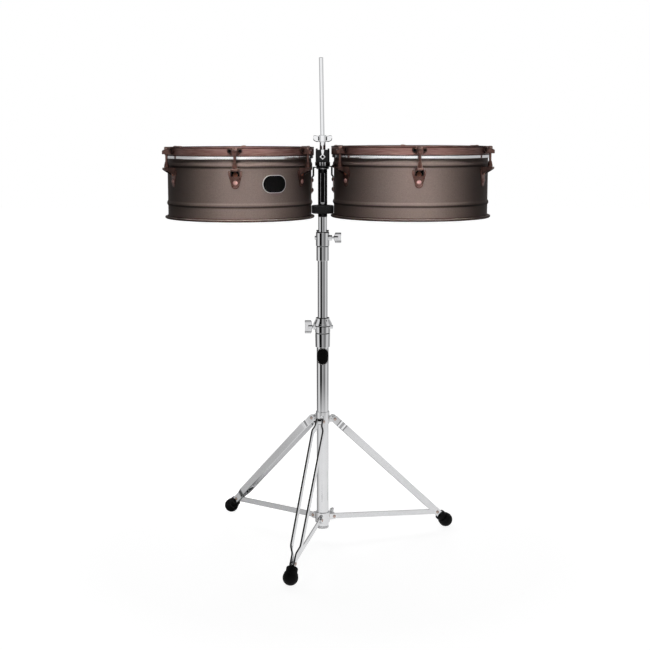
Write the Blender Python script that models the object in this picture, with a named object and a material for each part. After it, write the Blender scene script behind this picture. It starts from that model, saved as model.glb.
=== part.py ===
"""Timbales: two metal drums hung on a post above a folding tripod stand, with a cowbell rod.

Metres, +Z up. The column stands on the Z axis of the stand frame, the audience is on the -Y side.
At the end the whole stand is moved so that the origin lies under the middle of its bounding box.
"""

import math

import bmesh
import bpy
from mathutils import Matrix, Vector

# Clearances
GAP = 0.0003                  # between two pieces that touch
WELD = 0.000001               # points closer than this are one point

# Drums, heights measured up from the bottom of the shell
LEFT_SHELL_RADIUS = 0.1778    # fourteen-inch drum
RIGHT_SHELL_RADIUS = 0.1905   # fifteen-inch drum
LEFT_LUG_TURN = math.radians(0.45)
RIGHT_LUG_TURN = math.radians(2.06)
LUG_COUNT = 6
DRUM_STEPS = 48
SHELL_HEIGHT = 0.1637
SHELL_WALL = 0.0015
RIM_HEIGHT = 0.0070           # rolled rim at the open bottom
RIM_REACH = 0.0058
BEAD_LOW_HEIGHT = 0.0420
BEAD_WIDTH = 0.0130
BEAD_REACH = 0.0017
BEAD_BELOW_HEAD = 0.0057      # upper bead's top edge below the flesh hoop
HEAD_THICKNESS = 0.0010
COLLAR_CLEARANCE = 0.0005     # head collar to shell
COLLAR_THICKNESS = 0.0013
FLESH_HOOP_DROP = 0.0096      # top of the flesh hoop below the bearing edge
FLESH_HOOP_HEIGHT = 0.0064
FLESH_HOOP_WIDTH = 0.0032
HOOP_ABOVE_HEAD = 0.0084
HOOP_CLEARANCE = 0.0017       # counterhoop to head collar
HOOP_THICKNESS = 0.0030

HEAD_TOP = SHELL_HEIGHT + GAP + HEAD_THICKNESS
FLESH_HOOP_TOP = SHELL_HEIGHT - FLESH_HOOP_DROP
FLESH_HOOP_BOTTOM = FLESH_HOOP_TOP - FLESH_HOOP_HEIGHT
FLESH_HOOP_REACH = COLLAR_CLEARANCE + COLLAR_THICKNESS + FLESH_HOOP_WIDTH
BEAD_HIGH_HEIGHT = FLESH_HOOP_BOTTOM - BEAD_BELOW_HEAD - BEAD_WIDTH / 2
HOOP_BOTTOM = FLESH_HOOP_TOP + GAP
HOOP_TOP = HEAD_TOP + HOOP_ABOVE_HEAD
HOOP_REACH = COLLAR_CLEARANCE + COLLAR_THICKNESS + HOOP_CLEARANCE + HOOP_THICKNESS

# Lugs riveted to the shells
LUG_SHELF_DROP = 0.0376       # shelf top below the bearing edge
LUG_SHELF_THICKNESS = 0.0025
LUG_SHELF_HALF_WIDTH = 0.0110
LUG_LIP = 0.0080              # shelf beyond the tension rod's axis
LUG_LIP_HALF_WIDTH = 0.0078
LUG_LIP_HEIGHT = 0.0048
LUG_LIP_CLEARANCE = 0.0008    # between the lip and the nut under the shelf
LUG_SIDE_THICKNESS = 0.0018
LUG_SIDE_HEIGHT = 0.0185      # depth of the boxed sides at the wall
LUG_PLATE_HALF_WIDTH = 0.0175
LUG_PLATE_HEIGHT = 0.0450
LUG_PLATE_SHOULDER = 0.0105
LUG_PLATE_THICKNESS = 0.0020
LUG_PLATE_BITE = 0.0009       # depth of the plate in the shell wall
LUG_TIP_RADIUS = 0.0085
RIVET_RADIUS = 0.0055
RIVET_HEIGHT = 0.0035
RIVET_UPPER_DROP = 0.0148     # below the shelf top
RIVET_LOWER_DROP = 0.0335

# Tension rods and claws
ROD_RADIUS = 0.0030
ROD_HOLE_CLEARANCE = 0.0004
ROD_HEAD_OVERHANG = 0.0025
ROD_HEAD_HEIGHT = 0.0070
ROD_FERRULE_WALL = 0.0032
ROD_FERRULE_TOP_WALL = 0.0008
ROD_FERRULE_HEIGHT = 0.0140
ROD_NUT_WALL = 0.0020
ROD_NUT_HEIGHT = 0.0040
CLAW_HALF_WIDTH = 0.0175
CLAW_HEIGHT = 0.0155
CLAW_PLATE_THICKNESS = 0.0026
CLAW_BOSS_WALL = 0.0029
CLAW_BOSS_STANDOFF = 0.0023   # between the claw's plate and its boss
CLAW_BOSS_HEIGHT = 0.0108
CLAW_HOOK_ABOVE_HEAD = 0.0035 # end of the tongue inside the counterhoop
CLAW_HOOK_THICKNESS = 0.0014
CLAW_HOOK_CLEARANCE = 0.0009
CLAW_TOP_THICKNESS = 0.0016
CLAW_CORNER = 0.0035
CLAW_TAPER = 0.0060           # height over which the plate narrows to its foot
CLAW_FOOT_HALF_WIDTH = 0.0085
CLAW_NOSE = 0.0047            # boss drawn out beyond the tension rod's axis
CLAW_NOSE_HEIGHT = 0.0080

ROD_HEAD_RADIUS = ROD_RADIUS + ROD_HEAD_OVERHANG
ROD_FERRULE_RADIUS = ROD_RADIUS + ROD_FERRULE_WALL
ROD_NUT_RADIUS = ROD_RADIUS + ROD_NUT_WALL
CLAW_BOSS_RADIUS = ROD_RADIUS + ROD_HOLE_CLEARANCE + CLAW_BOSS_WALL
CLAW_FACE = HOOP_REACH + GAP
ROD_REACH = CLAW_FACE + CLAW_PLATE_THICKNESS + CLAW_BOSS_STANDOFF + CLAW_BOSS_RADIUS
LUG_SHELF_REACH = ROD_REACH + LUG_LIP
SHELF_TOP = SHELL_HEIGHT - LUG_SHELF_DROP
CLAW_BOTTOM = HOOP_TOP - CLAW_HEIGHT
CLAW_BOSS_TOP = CLAW_BOTTOM + CLAW_BOSS_HEIGHT

# Plain badge plate on the left shell
BADGE_TURN = math.radians(31.5)
BADGE_HEIGHT = 0.0890
BADGE_HALF_WIDTH = 0.0315
BADGE_HALF_HEIGHT = 0.0213
BADGE_CORNER = 0.0205
BADGE_THICKNESS = 0.0010

# Hangers that carry the drums
HANGER_THICKNESS = 0.0020
HANGER_HALF_WIDTH = 0.0160
HANGER_STANDOFF = 0.0040
HANGER_FLANGE_DROP = 0.0244       # flange's underside below the flesh hoop
HANGER_FOOT_CLEARANCE = 0.0115    # hanger's foot above the lower bead
HANGER_PLATE_HEIGHT = 0.0400      # foot to jog
HANGER_JOG_RISE = 0.0040
HANGER_BOLT_LIFT = 0.0080         # lower bolt above the hanger's foot
HANGER_BOLT_PITCH = 0.0245
HANGER_BOLT_RADIUS = 0.0030
HANGER_BOLT_HEAD_OVERHANG = 0.0025
HANGER_BOLT_HEAD_HEIGHT = 0.0035
HANGER_NUT_CLEARANCE = 0.0009

HANGER_FLANGE_HEIGHT = FLESH_HOOP_BOTTOM - HANGER_FLANGE_DROP
HANGER_FOOT_HEIGHT = BEAD_LOW_HEIGHT + BEAD_WIDTH / 2 + HANGER_FOOT_CLEARANCE
HANGER_JOG_HEIGHT = HANGER_FOOT_HEIGHT + HANGER_PLATE_HEIGHT
HANGER_BOLT_HEIGHTS = (HANGER_FOOT_HEIGHT + HANGER_BOLT_LIFT,
                       HANGER_FOOT_HEIGHT + HANGER_BOLT_LIFT + HANGER_BOLT_PITCH)
HANGER_BOLT_HEAD_RADIUS = HANGER_BOLT_RADIUS + HANGER_BOLT_HEAD_OVERHANG

# Column tubes
UPPER_TUBE_RADIUS = 0.0110
UPPER_TUBE_WALL = 0.0012
UPPER_EXTENSION = 0.0694
UPPER_INSERT = 0.2000
MIDDLE_TUBE_CLEARANCE = 0.0003    # round the upper tube
MIDDLE_TUBE_WALL = 0.0012
MIDDLE_EXTENSION = 0.2200         # middle tube showing and in its clamp
MIDDLE_INSERT = 0.2000            # middle tube inside the lower tube
LOWER_TUBE_CLEARANCE = 0.00125    # round the middle tube
LOWER_TUBE_WALL = 0.0015
LOWER_TUBE_BELOW_COLLAR = 0.0091
LOWER_TUBE_ABOVE_HUB = 0.2280
TUBE_STEPS = 20
SMALL_STEPS = 8                   # sides of bolts, rivets and small holes
PLUG_FLANGE = 0.0065
PLUG_SPIGOT = 0.0240

MIDDLE_TUBE_RADIUS = UPPER_TUBE_RADIUS + MIDDLE_TUBE_CLEARANCE + MIDDLE_TUBE_WALL
LOWER_TUBE_RADIUS = MIDDLE_TUBE_RADIUS + LOWER_TUBE_CLEARANCE + LOWER_TUBE_WALL

# Tripod
LEG_AZIMUTHS = {"right": math.radians(17.5), "left": math.radians(137.5), "front": math.radians(257.5)}
LEG_SPREAD = math.radians(46.4)   # from the vertical
LEG_LENGTH = 0.3988               # hub pivot to brace pivot
LEG_STRIP_WIDTH = 0.0180
LEG_STRIP_THICKNESS = 0.0030
LEG_TOP_SPREAD = 0.0140           # widest half distance between the strips
LEG_LOW_SPREAD = 0.0110
LEG_FLARE_START = 0.0120
LEG_FLARE_END = 0.0380
LEG_TAPER_START = 0.0900          # measured back from the brace pivot
LEG_TAPER_END = 0.0240
LEG_TAIL_ENTRY = 0.0212           # strip inside the foot's sleeve
LEG_SPACER_LENGTH = 0.0180
LEG_RIVET_RADIUS = 0.0052
LEG_RIVET_HEIGHT = 0.0025
LEG_PIN_RADIUS = 0.0025
PIVOT_CLEARANCE = 0.00205         # leg's round end to the collar's wall
BRACE_RISE = 0.0155               # collar pivot above the outer brace pivot
BRACE_WIDTH = 0.0140
BRACE_THICKNESS = 0.0034
FOOT_MOUTH = 0.0108               # brace pivot to the mouth of the foot's sleeve
FOOT_SLEEVE_LENGTH = 0.0250       # sleeve mouth to the middle of the ball
FOOT_SLEEVE_WALL = 0.0031
FOOT_BALL_SWELL = 0.0045          # ball's radius beyond the sleeve's
FOOT_FLAT_DEPTH = 0.0013          # cut off the ball by the floor
HUB_WALL = 0.0020
HUB_ABOVE_PIVOT = 0.0210
HUB_BELOW_PIVOT = 0.0110
HUB_EAR_HALF_THICKNESS = 0.0059
EAR_RADIUS = 0.0080
COLLAR_WALL = 0.0034
COLLAR_ABOVE_PIVOT = 0.0146
COLLAR_BELOW_PIVOT = 0.0124
COLLAR_EAR_WALL = 0.0035          # each side of the fork
COLLAR_BOSS_AZIMUTH = math.radians(60.0)
COLLAR_BOSS_LENGTH = 0.00805
COLLAR_BOSS_RADIUS = 0.0068
COLLAR_BOSS_CHAMFER = 0.0018      # keeps the folded right leg clear

PIVOT_RADIUS = LOWER_TUBE_RADIUS + GAP + COLLAR_WALL + PIVOT_CLEARANCE + LEG_STRIP_WIDTH / 2
COLLAR_EAR_HALF_THICKNESS = BRACE_THICKNESS / 2 + GAP + COLLAR_EAR_WALL
COLLAR_BOSS_REACH = LOWER_TUBE_RADIUS + GAP + COLLAR_WALL + COLLAR_BOSS_LENGTH
LEG_TAIL = FOOT_MOUTH + LEG_TAIL_ENTRY
FOOT_REACH = FOOT_MOUTH + FOOT_SLEEVE_LENGTH
FOOT_POCKET_HALF_WIDTH = LEG_STRIP_WIDTH / 2 + GAP
FOOT_POCKET_HALF_DEPTH = BRACE_THICKNESS / 2 + 3 * GAP + LEG_STRIP_THICKNESS
FOOT_SLEEVE_RADIUS = math.hypot(FOOT_POCKET_HALF_WIDTH, FOOT_POCKET_HALF_DEPTH) + FOOT_SLEEVE_WALL
FOOT_BALL_RADIUS = FOOT_SLEEVE_RADIUS + FOOT_BALL_SWELL
FOOT_BALL_HEIGHT = FOOT_BALL_RADIUS - FOOT_FLAT_DEPTH

# Tube clamps
LOWER_CLAMP_SLEEVE_LENGTH = 0.0400
LOWER_CLAMP_HEIGHT = 0.0345
LOWER_CLAMP_CONE_HEIGHT = 0.0190
LOWER_CLAMP_WALL = 0.00345
LOWER_CLAMP_CONE_REACH = 0.0042   # beyond the sleeve
LOWER_CLAMP_TOP_WALL = 0.0040
LOWER_CLAMP_BOSS_LENGTH = 0.0045
UPPER_CLAMP_SLEEVE_LENGTH = 0.0405
UPPER_CLAMP_HEIGHT = 0.0310
UPPER_CLAMP_WALL = 0.0040
UPPER_CLAMP_SLEEVE_STEP = 0.0011
UPPER_CLAMP_BOSS_LENGTH = 0.0067
CLAMP_GROOVE = 0.0016
CLAMP_BOSS_RADIUS = 0.0072
LOWER_SCREW_HEIGHT = 0.0112       # above the end of the outer tube
UPPER_SCREW_HEIGHT = 0.0167
CLAMP_EAR_REACH = 0.0030

LOWER_CLAMP_RADIUS = LOWER_TUBE_RADIUS + GAP + LOWER_CLAMP_WALL
LOWER_CLAMP_CONE_RADIUS = LOWER_CLAMP_RADIUS + LOWER_CLAMP_CONE_REACH
LOWER_CLAMP_TOP_RADIUS = MIDDLE_TUBE_RADIUS + GAP + LOWER_CLAMP_TOP_WALL
LOWER_BOSS_REACH = LOWER_CLAMP_RADIUS + LOWER_CLAMP_BOSS_LENGTH
UPPER_CLAMP_RADIUS = MIDDLE_TUBE_RADIUS + GAP + UPPER_CLAMP_WALL
UPPER_CLAMP_SLEEVE_RADIUS = UPPER_CLAMP_RADIUS - UPPER_CLAMP_SLEEVE_STEP
UPPER_BOSS_REACH = UPPER_CLAMP_RADIUS + UPPER_CLAMP_BOSS_LENGTH

# Wing screws and the wing nut
SCREW_RADIUS = 0.0030
SCREW_CLEARANCE = 0.0004
WING_HUB_WALL = 0.0020
WING_THICKNESS = 0.0042
WING_LOBE_RADIUS = 0.0048
LOWER_WING_SPAN = 0.0330
LOWER_WING_LENGTH = 0.0175
LOWER_WING_STANDOFF = 0.0040      # beyond the clamp's boss
UPPER_WING_SPAN = 0.0260
UPPER_WING_LENGTH = 0.0165
UPPER_WING_STANDOFF = 0.0065
COLLAR_WING_SPAN = 0.0220
COLLAR_WING_LENGTH = 0.0140
COLLAR_WING_STANDOFF = 0.0130

WING_HUB_RADIUS = SCREW_RADIUS + WING_HUB_WALL

# Cowbell rod and the head that holds it
COWBELL_ROD_RADIUS = 0.00525
COWBELL_ROD_ABOVE = 0.2135        # from the lean centre up to its top
COWBELL_ROD_BELOW = 0.1450
COWBELL_ROD_LEAN = math.radians(-1.0)
COWBELL_ROD_TRAVEL_DOWN = 0.0150
LEAN_CENTRE_ABOVE_BLOCK = 0.0105
BLOCK_WIDTH = 0.0344
BLOCK_DEPTH = 0.0300
BLOCK_HEIGHT = 0.0294
BLOCK_CORNER = 0.0045
BLOCK_HORN_WIDTH = 0.0050
BLOCK_HORN_HEIGHT = 0.0030
NECK_WALL = 0.0010
NECK_ENTRY = 0.0052               # neck inside the wing nut
LOCK_SCREW_HEIGHT = 0.0123        # above the block's underside
LOCK_HEAD_HALF_DIAGONAL = 0.0076
LOCK_HEAD_THICKNESS = 0.0040
LOCK_SOCKET_RADIUS = 0.0033
LOCK_SOCKET_DEPTH = 0.0028
WING_NUT_LIFT = 0.0188            # wing nut's underside above the block
WING_NUT_HEIGHT = 0.0171
WING_NUT_WALL = 0.0017
WING_NUT_SPAN = 0.0470
WING_NUT_THICKNESS = 0.0042

ROD_SWAY = math.sin(abs(COWBELL_ROD_LEAN))
COWBELL_BORE_RADIUS = COWBELL_ROD_RADIUS + (BLOCK_HEIGHT + LEAN_CENTRE_ABOVE_BLOCK) * ROD_SWAY + GAP
NECK_RADIUS = COWBELL_BORE_RADIUS + NECK_WALL
NECK_HEIGHT = WING_NUT_LIFT + NECK_ENTRY
WING_NUT_RADIUS = NECK_RADIUS + GAP + WING_NUT_WALL

# Post that carries the drums
POST_SPIGOT_WALL = 0.0017
POST_SHOULDER = 0.0015
POST_BASE_RISE = 0.0020           # post's base above the left drum's rim
POST_TAIL_LENGTH = 0.0250         # spigot in the upper tube
POST_SPIGOT_ENTRY = 0.0070        # spigot inside the head block
POST_SLOT_WIDTH = 0.0090
POST_SLOT_TOP = 0.0080            # below the post's shoulder
BUMPER_THICKNESS = 0.0161
BUMPER_LIFT = 0.0008              # above the higher drum's rim
BUMPER_BELOW_BEAD = 0.0049        # below the lower drum's bead
WASHER_RADIUS = 0.0155
WASHER_THICKNESS = 0.0030
RING_NUT_RADIUS = 0.0186
RING_NUT_HEIGHT = 0.0097
RING_NUT_SIDES = 12

POST_BORE_RADIUS = COWBELL_ROD_RADIUS + (COWBELL_ROD_BELOW + COWBELL_ROD_TRAVEL_DOWN) * ROD_SWAY + GAP
POST_SPIGOT_RADIUS = POST_BORE_RADIUS + POST_SPIGOT_WALL
POST_RADIUS = POST_SPIGOT_RADIUS + POST_SHOULDER
POST_LENGTH = HANGER_FLANGE_HEIGHT - POST_BASE_RISE - WASHER_THICKNESS - 2 * GAP
BUMPER_RADIUS = POST_RADIUS + BUMPER_THICKNESS

# Frames that turn an outline drawn in (u, v) and extruded along w
FLAT = Matrix.Identity(4)                                                     # u=X, v=Y, w=Z
STANDING = Matrix(((1, 0, 0, 0), (0, 0, 1, 0), (0, 1, 0, 0), (0, 0, 0, 1)))    # u=X, v=Z, w=Y
SIDEWAYS = Matrix(((0, 0, 1, 0), (1, 0, 0, 0), (0, 1, 0, 0), (0, 0, 0, 1)))    # u=Y, v=Z, w=X
Z_TO_X = Matrix.Rotation(math.radians(90.0), 4, "Y")
Z_TO_Y = Matrix.Rotation(math.radians(-90.0), 4, "X")


def shift(x=0.0, y=0.0, z=0.0):
    return Matrix.Translation(Vector((x, y, z)))


def turn(angle):
    return Matrix.Rotation(angle, 4, "Z")


def arc(centre, radius, start, end, steps):
    """Points on an arc in the outline's plane, both ends included."""
    points = []
    for step in range(steps + 1):
        angle = start + (end - start) * step / steps
        points.append((centre[0] + radius * math.cos(angle), centre[1] + radius * math.sin(angle)))
    return points


def rounded_box(half_width, half_height, corner, steps=3):
    """Outline of a rectangle with round corners, about the origin."""
    points = []
    quarter = math.pi / 2
    for index, (sx, sy) in enumerate(((1, 1), (-1, 1), (-1, -1), (1, -1))):
        centre = (sx * (half_width - corner), sy * (half_height - corner))
        points += arc(centre, corner, index * quarter, (index + 1) * quarter, steps)
    return points


def to_mesh(bm, name):
    bm.normal_update()
    bmesh.ops.recalc_face_normals(bm, faces=bm.faces[:])
    mesh = bpy.data.meshes.new(name)
    bm.to_mesh(mesh)
    bm.free()
    return mesh


def turned(profile, steps, place=FLAT, phase=0.0):
    """Solid of revolution about Z from a (radius, height) profile, then placed."""
    bm = bmesh.new()
    verts = [bm.verts.new((r * math.cos(phase), r * math.sin(phase), z)) for r, z in profile]
    pairs = list(zip(verts, verts[1:]))
    on_axis = profile[0][0] == 0.0 and profile[-1][0] == 0.0
    if not on_axis:
        pairs.append((verts[-1], verts[0]))
    edges = [bm.edges.new(pair) for pair in pairs]
    bmesh.ops.spin(bm, geom=verts + edges, cent=(0, 0, 0), axis=(0, 0, 1), dvec=(0, 0, 0),
                   angle=2 * math.pi, steps=steps, use_merge=True, use_duplicate=False)
    bmesh.ops.remove_doubles(bm, verts=bm.verts[:], dist=WELD)
    bm.transform(place)
    return to_mesh(bm, "turned")


def rod(radius, low, high, steps, place=FLAT, phase=0.0):
    return turned([(0.0, high), (radius, high), (radius, low), (0.0, low)], steps, place, phase)


def ring(inner, outer, low, high, steps, place=FLAT, phase=0.0):
    return turned([(inner, high), (outer, high), (outer, low), (inner, low)], steps, place, phase)


def dome(radius, height, root, steps, place):
    """Round head on the plane z = 0, rooted below it."""
    return turned([(0.0, height), (0.6 * radius, 0.8 * height), (radius, 0.25 * height),
                   (radius, -root), (0.0, -root)], steps, place)


def prism(outline, low, high, place=FLAT):
    """Outline in (u, v) extruded along w from low to high, then placed."""
    bm = bmesh.new()
    face = bm.faces.new([bm.verts.new((u, v, low)) for u, v in outline])
    grown = bmesh.ops.extrude_face_region(bm, geom=[face])
    tops = [item for item in grown["geom"] if isinstance(item, bmesh.types.BMVert)]
    bmesh.ops.translate(bm, verts=tops, vec=(0, 0, high - low))
    bm.transform(place)
    return to_mesh(bm, "prism")


def gathered(mesh, places):
    """One mesh holding a copy of the given mesh at each place."""
    bm = bmesh.new()
    for place in places:
        copy = mesh.copy()
        copy.transform(place)
        bm.from_mesh(copy)
        bpy.data.meshes.remove(copy)
    return to_mesh(bm, "gathered")


def boolean(base, tool, operation):
    """Boolean of two meshes, as a new mesh."""
    scene = bpy.context.scene.collection.objects
    holder = bpy.data.objects.new("base", base)
    cutter = bpy.data.objects.new("tool", tool)
    scene.link(holder)
    scene.link(cutter)
    modifier = holder.modifiers.new("boolean", "BOOLEAN")
    modifier.operation = operation
    modifier.solver = "EXACT"
    modifier.object = cutter
    graph = bpy.context.evaluated_depsgraph_get()
    result = bpy.data.meshes.new_from_object(holder.evaluated_get(graph))
    for item in (holder, cutter):
        bpy.data.objects.remove(item)
    for item in (base, tool):
        bpy.data.meshes.remove(item)
    return result


def fused(base, *tools):
    for tool in tools:
        base = boolean(base, tool, "UNION")
    return base


def cut(base, *tools):
    for tool in tools:
        base = boolean(base, tool, "DIFFERENCE")
    return base


def common(base, tool):
    return boolean(base, tool, "INTERSECT")


def material(name, colour, roughness, metallic):
    mat = bpy.data.materials.new(name)
    mat.use_nodes = True
    shader = mat.node_tree.nodes["Principled BSDF"]
    shader.inputs["Base Color"].default_value = (*colour, 1.0)
    shader.inputs["Roughness"].default_value = roughness
    shader.inputs["Metallic"].default_value = metallic
    return mat


def empty(name, parent, place=FLAT):
    obj = bpy.data.objects.new(name, None)
    bpy.context.scene.collection.objects.link(obj)
    obj.parent = parent
    obj.matrix_local = place
    return obj


def piece(name, mesh, mat, parent, place=FLAT):
    """One named sub-part."""
    obj = bpy.data.objects.new(name, mesh)
    bpy.context.scene.collection.objects.link(obj)
    if not mesh.materials:
        mesh.materials.append(mat)
    mesh.shade_smooth()
    mesh.set_sharp_from_angle(angle=math.radians(32.0))
    obj.parent = parent
    obj.matrix_local = place
    return obj


def bead(radius, height, steps=3):
    """Pressed bead round the shell, from its top edge down."""
    points = []
    for step in range(steps + 1):
        across = -1.0 + 2.0 * step / steps
        swell = BEAD_REACH * math.cos(math.pi / 2 * across) ** 0.4 if step % steps else 0.0
        points.append((radius + swell, height - across * BEAD_WIDTH / 2))
    return points


def lug_place(radius, angle):
    """Frame on the shell: X along the wall, Y outward, Z up, angle from the front towards +X."""
    return turn(angle + math.pi) @ shift(y=radius)


def lug_angles(start):
    return [start + index * 2 * math.pi / LUG_COUNT for index in range(LUG_COUNT)]


def boxed(wall_half, nose_half, start, end, low, high):
    """Upright block that keeps its width as far as the tension rod and then narrows to its nose."""
    return prism([(-wall_half, start), (wall_half, start), (wall_half, ROD_REACH), (nose_half, end),
                  (-nose_half, end), (-wall_half, ROD_REACH)], low, high)


def lug_mesh(radius):
    """Riveted lug: teardrop plate on the wall, boxed shelf for the tension rod, two rivets."""
    plate_top = SHELF_TOP - LUG_SHELF_THICKNESS / 2
    shoulder = plate_top - LUG_PLATE_SHOULDER
    tip = (0.0, plate_top - LUG_PLATE_HEIGHT + LUG_TIP_RADIUS)
    corner = Vector((LUG_PLATE_HALF_WIDTH, shoulder - tip[1]))
    tangent = math.atan2(corner.y, corner.x) - math.acos(LUG_TIP_RADIUS / corner.length)
    outline = [(LUG_PLATE_HALF_WIDTH, plate_top), (LUG_PLATE_HALF_WIDTH, shoulder)]
    outline += arc(tip, LUG_TIP_RADIUS, tangent, -math.pi - tangent, 5)
    outline += [(-LUG_PLATE_HALF_WIDTH, shoulder), (-LUG_PLATE_HALF_WIDTH, plate_top)]
    wall = ring(radius - LUG_PLATE_BITE, radius + LUG_PLATE_THICKNESS, tip[1] - 2 * LUG_TIP_RADIUS,
                plate_top + LUG_TIP_RADIUS, DRUM_STEPS, shift(y=-radius), math.pi / 2)
    plate = common(wall, prism(outline, -radius / 2, LUG_SHELF_REACH, STANDING))

    body = boxed(LUG_SHELF_HALF_WIDTH, LUG_LIP_HALF_WIDTH, -1.3 * LUG_PLATE_BITE, LUG_SHELF_REACH,
                 SHELF_TOP - 2 * LUG_SIDE_HEIGHT, SHELF_TOP)
    rise = (LUG_SIDE_HEIGHT - LUG_LIP_HEIGHT) / (LUG_SHELF_REACH - LUG_PLATE_THICKNESS)
    slope = prism([(-radius / 2, SHELF_TOP + LUG_SIDE_HEIGHT), (2 * LUG_SHELF_REACH, SHELF_TOP + LUG_SIDE_HEIGHT),
                   (2 * LUG_SHELF_REACH, SHELF_TOP - LUG_LIP_HEIGHT + rise * LUG_SHELF_REACH),
                   (LUG_PLATE_THICKNESS, SHELF_TOP - LUG_SIDE_HEIGHT), (-radius / 2, SHELF_TOP - LUG_SIDE_HEIGHT)],
                  -2 * LUG_SHELF_HALF_WIDTH, 2 * LUG_SHELF_HALF_WIDTH, SIDEWAYS)
    hollow = boxed(LUG_SHELF_HALF_WIDTH - LUG_SIDE_THICKNESS, LUG_LIP_HALF_WIDTH - LUG_SIDE_THICKNESS,
                   0.6 * LUG_PLATE_THICKNESS, ROD_REACH + ROD_NUT_RADIUS + LUG_LIP_CLEARANCE,
                   SHELF_TOP - 3 * LUG_SIDE_HEIGHT, SHELF_TOP - LUG_SHELF_THICKNESS)
    body = cut(common(body, slope), hollow)
    rivets = [dome(RIVET_RADIUS, RIVET_HEIGHT, LUG_PLATE_THICKNESS, SMALL_STEPS,
                   shift(y=LUG_PLATE_THICKNESS, z=SHELF_TOP - drop) @ Z_TO_Y)
              for drop in (RIVET_UPPER_DROP, RIVET_LOWER_DROP)]
    lug = fused(plate, body, *rivets)
    hole = rod(ROD_RADIUS + ROD_HOLE_CLEARANCE, SHELF_TOP - 2 * LUG_SHELF_THICKNESS,
               SHELF_TOP + LUG_SHELF_THICKNESS, SMALL_STEPS, shift(y=ROD_REACH))
    return cut(lug, hole)


def badge_mesh(radius):
    """Plain plate curved to the shell, at the front of it."""
    wall = ring(radius - LUG_PLATE_BITE, radius + BADGE_THICKNESS, BADGE_HEIGHT - 2 * BADGE_HALF_HEIGHT,
                BADGE_HEIGHT + 2 * BADGE_HALF_HEIGHT, DRUM_STEPS, shift(y=-radius), math.pi / 2)
    outline = [(u, v + BADGE_HEIGHT) for u, v in rounded_box(BADGE_HALF_WIDTH, BADGE_HALF_HEIGHT, BADGE_CORNER, 5)]
    return common(wall, prism(outline, -radius / 2, LUG_SHELF_REACH, STANDING))


def shell_mesh(radius, lug_turn, inward, badge):
    """Beaded shell with a rolled bottom rim, its riveted lugs and two bolt holes for the hanger."""
    profile = [(radius, SHELL_HEIGHT)]
    profile += bead(radius, BEAD_HIGH_HEIGHT) + bead(radius, BEAD_LOW_HEIGHT)
    profile += [(radius, RIM_HEIGHT), (radius + 0.7 * RIM_REACH, 0.88 * RIM_HEIGHT),
                (radius + RIM_REACH, 0.60 * RIM_HEIGHT), (radius + RIM_REACH, 0.22 * RIM_HEIGHT),
                (radius + 0.75 * RIM_REACH, 0.0), (radius - SHELL_WALL, 0.0), (radius - SHELL_WALL, SHELL_HEIGHT)]
    shell = turned(profile, DRUM_STEPS, FLAT, lug_turn - math.pi / 2)
    shell = fused(shell, gathered(lug_mesh(radius), [lug_place(radius, angle) for angle in lug_angles(lug_turn)]))
    if badge:
        shell = fused(shell, gathered(badge_mesh(radius), [lug_place(radius, BADGE_TURN)]))
    for height in HANGER_BOLT_HEIGHTS:
        across = turn(inward) @ shift(z=height) @ Z_TO_X
        shell = cut(shell, rod(HANGER_BOLT_RADIUS + GAP, radius / 2, 2 * radius, SMALL_STEPS, across))
    return shell


def head_mesh(radius, phase):
    """Plastic head with its collar and flesh hoop."""
    inner = radius + COLLAR_CLEARANCE
    outer = inner + COLLAR_THICKNESS
    flesh = radius + FLESH_HOOP_REACH
    return turned([(0.0, HEAD_TOP), (radius - SHELL_WALL, HEAD_TOP), (outer, HEAD_TOP - HEAD_THICKNESS),
                   (outer, FLESH_HOOP_TOP), (flesh, FLESH_HOOP_TOP), (flesh, FLESH_HOOP_BOTTOM),
                   (inner, FLESH_HOOP_BOTTOM), (inner, HEAD_TOP - HEAD_THICKNESS), (0.0, HEAD_TOP - HEAD_THICKNESS)],
                  DRUM_STEPS, FLAT, phase)


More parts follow.
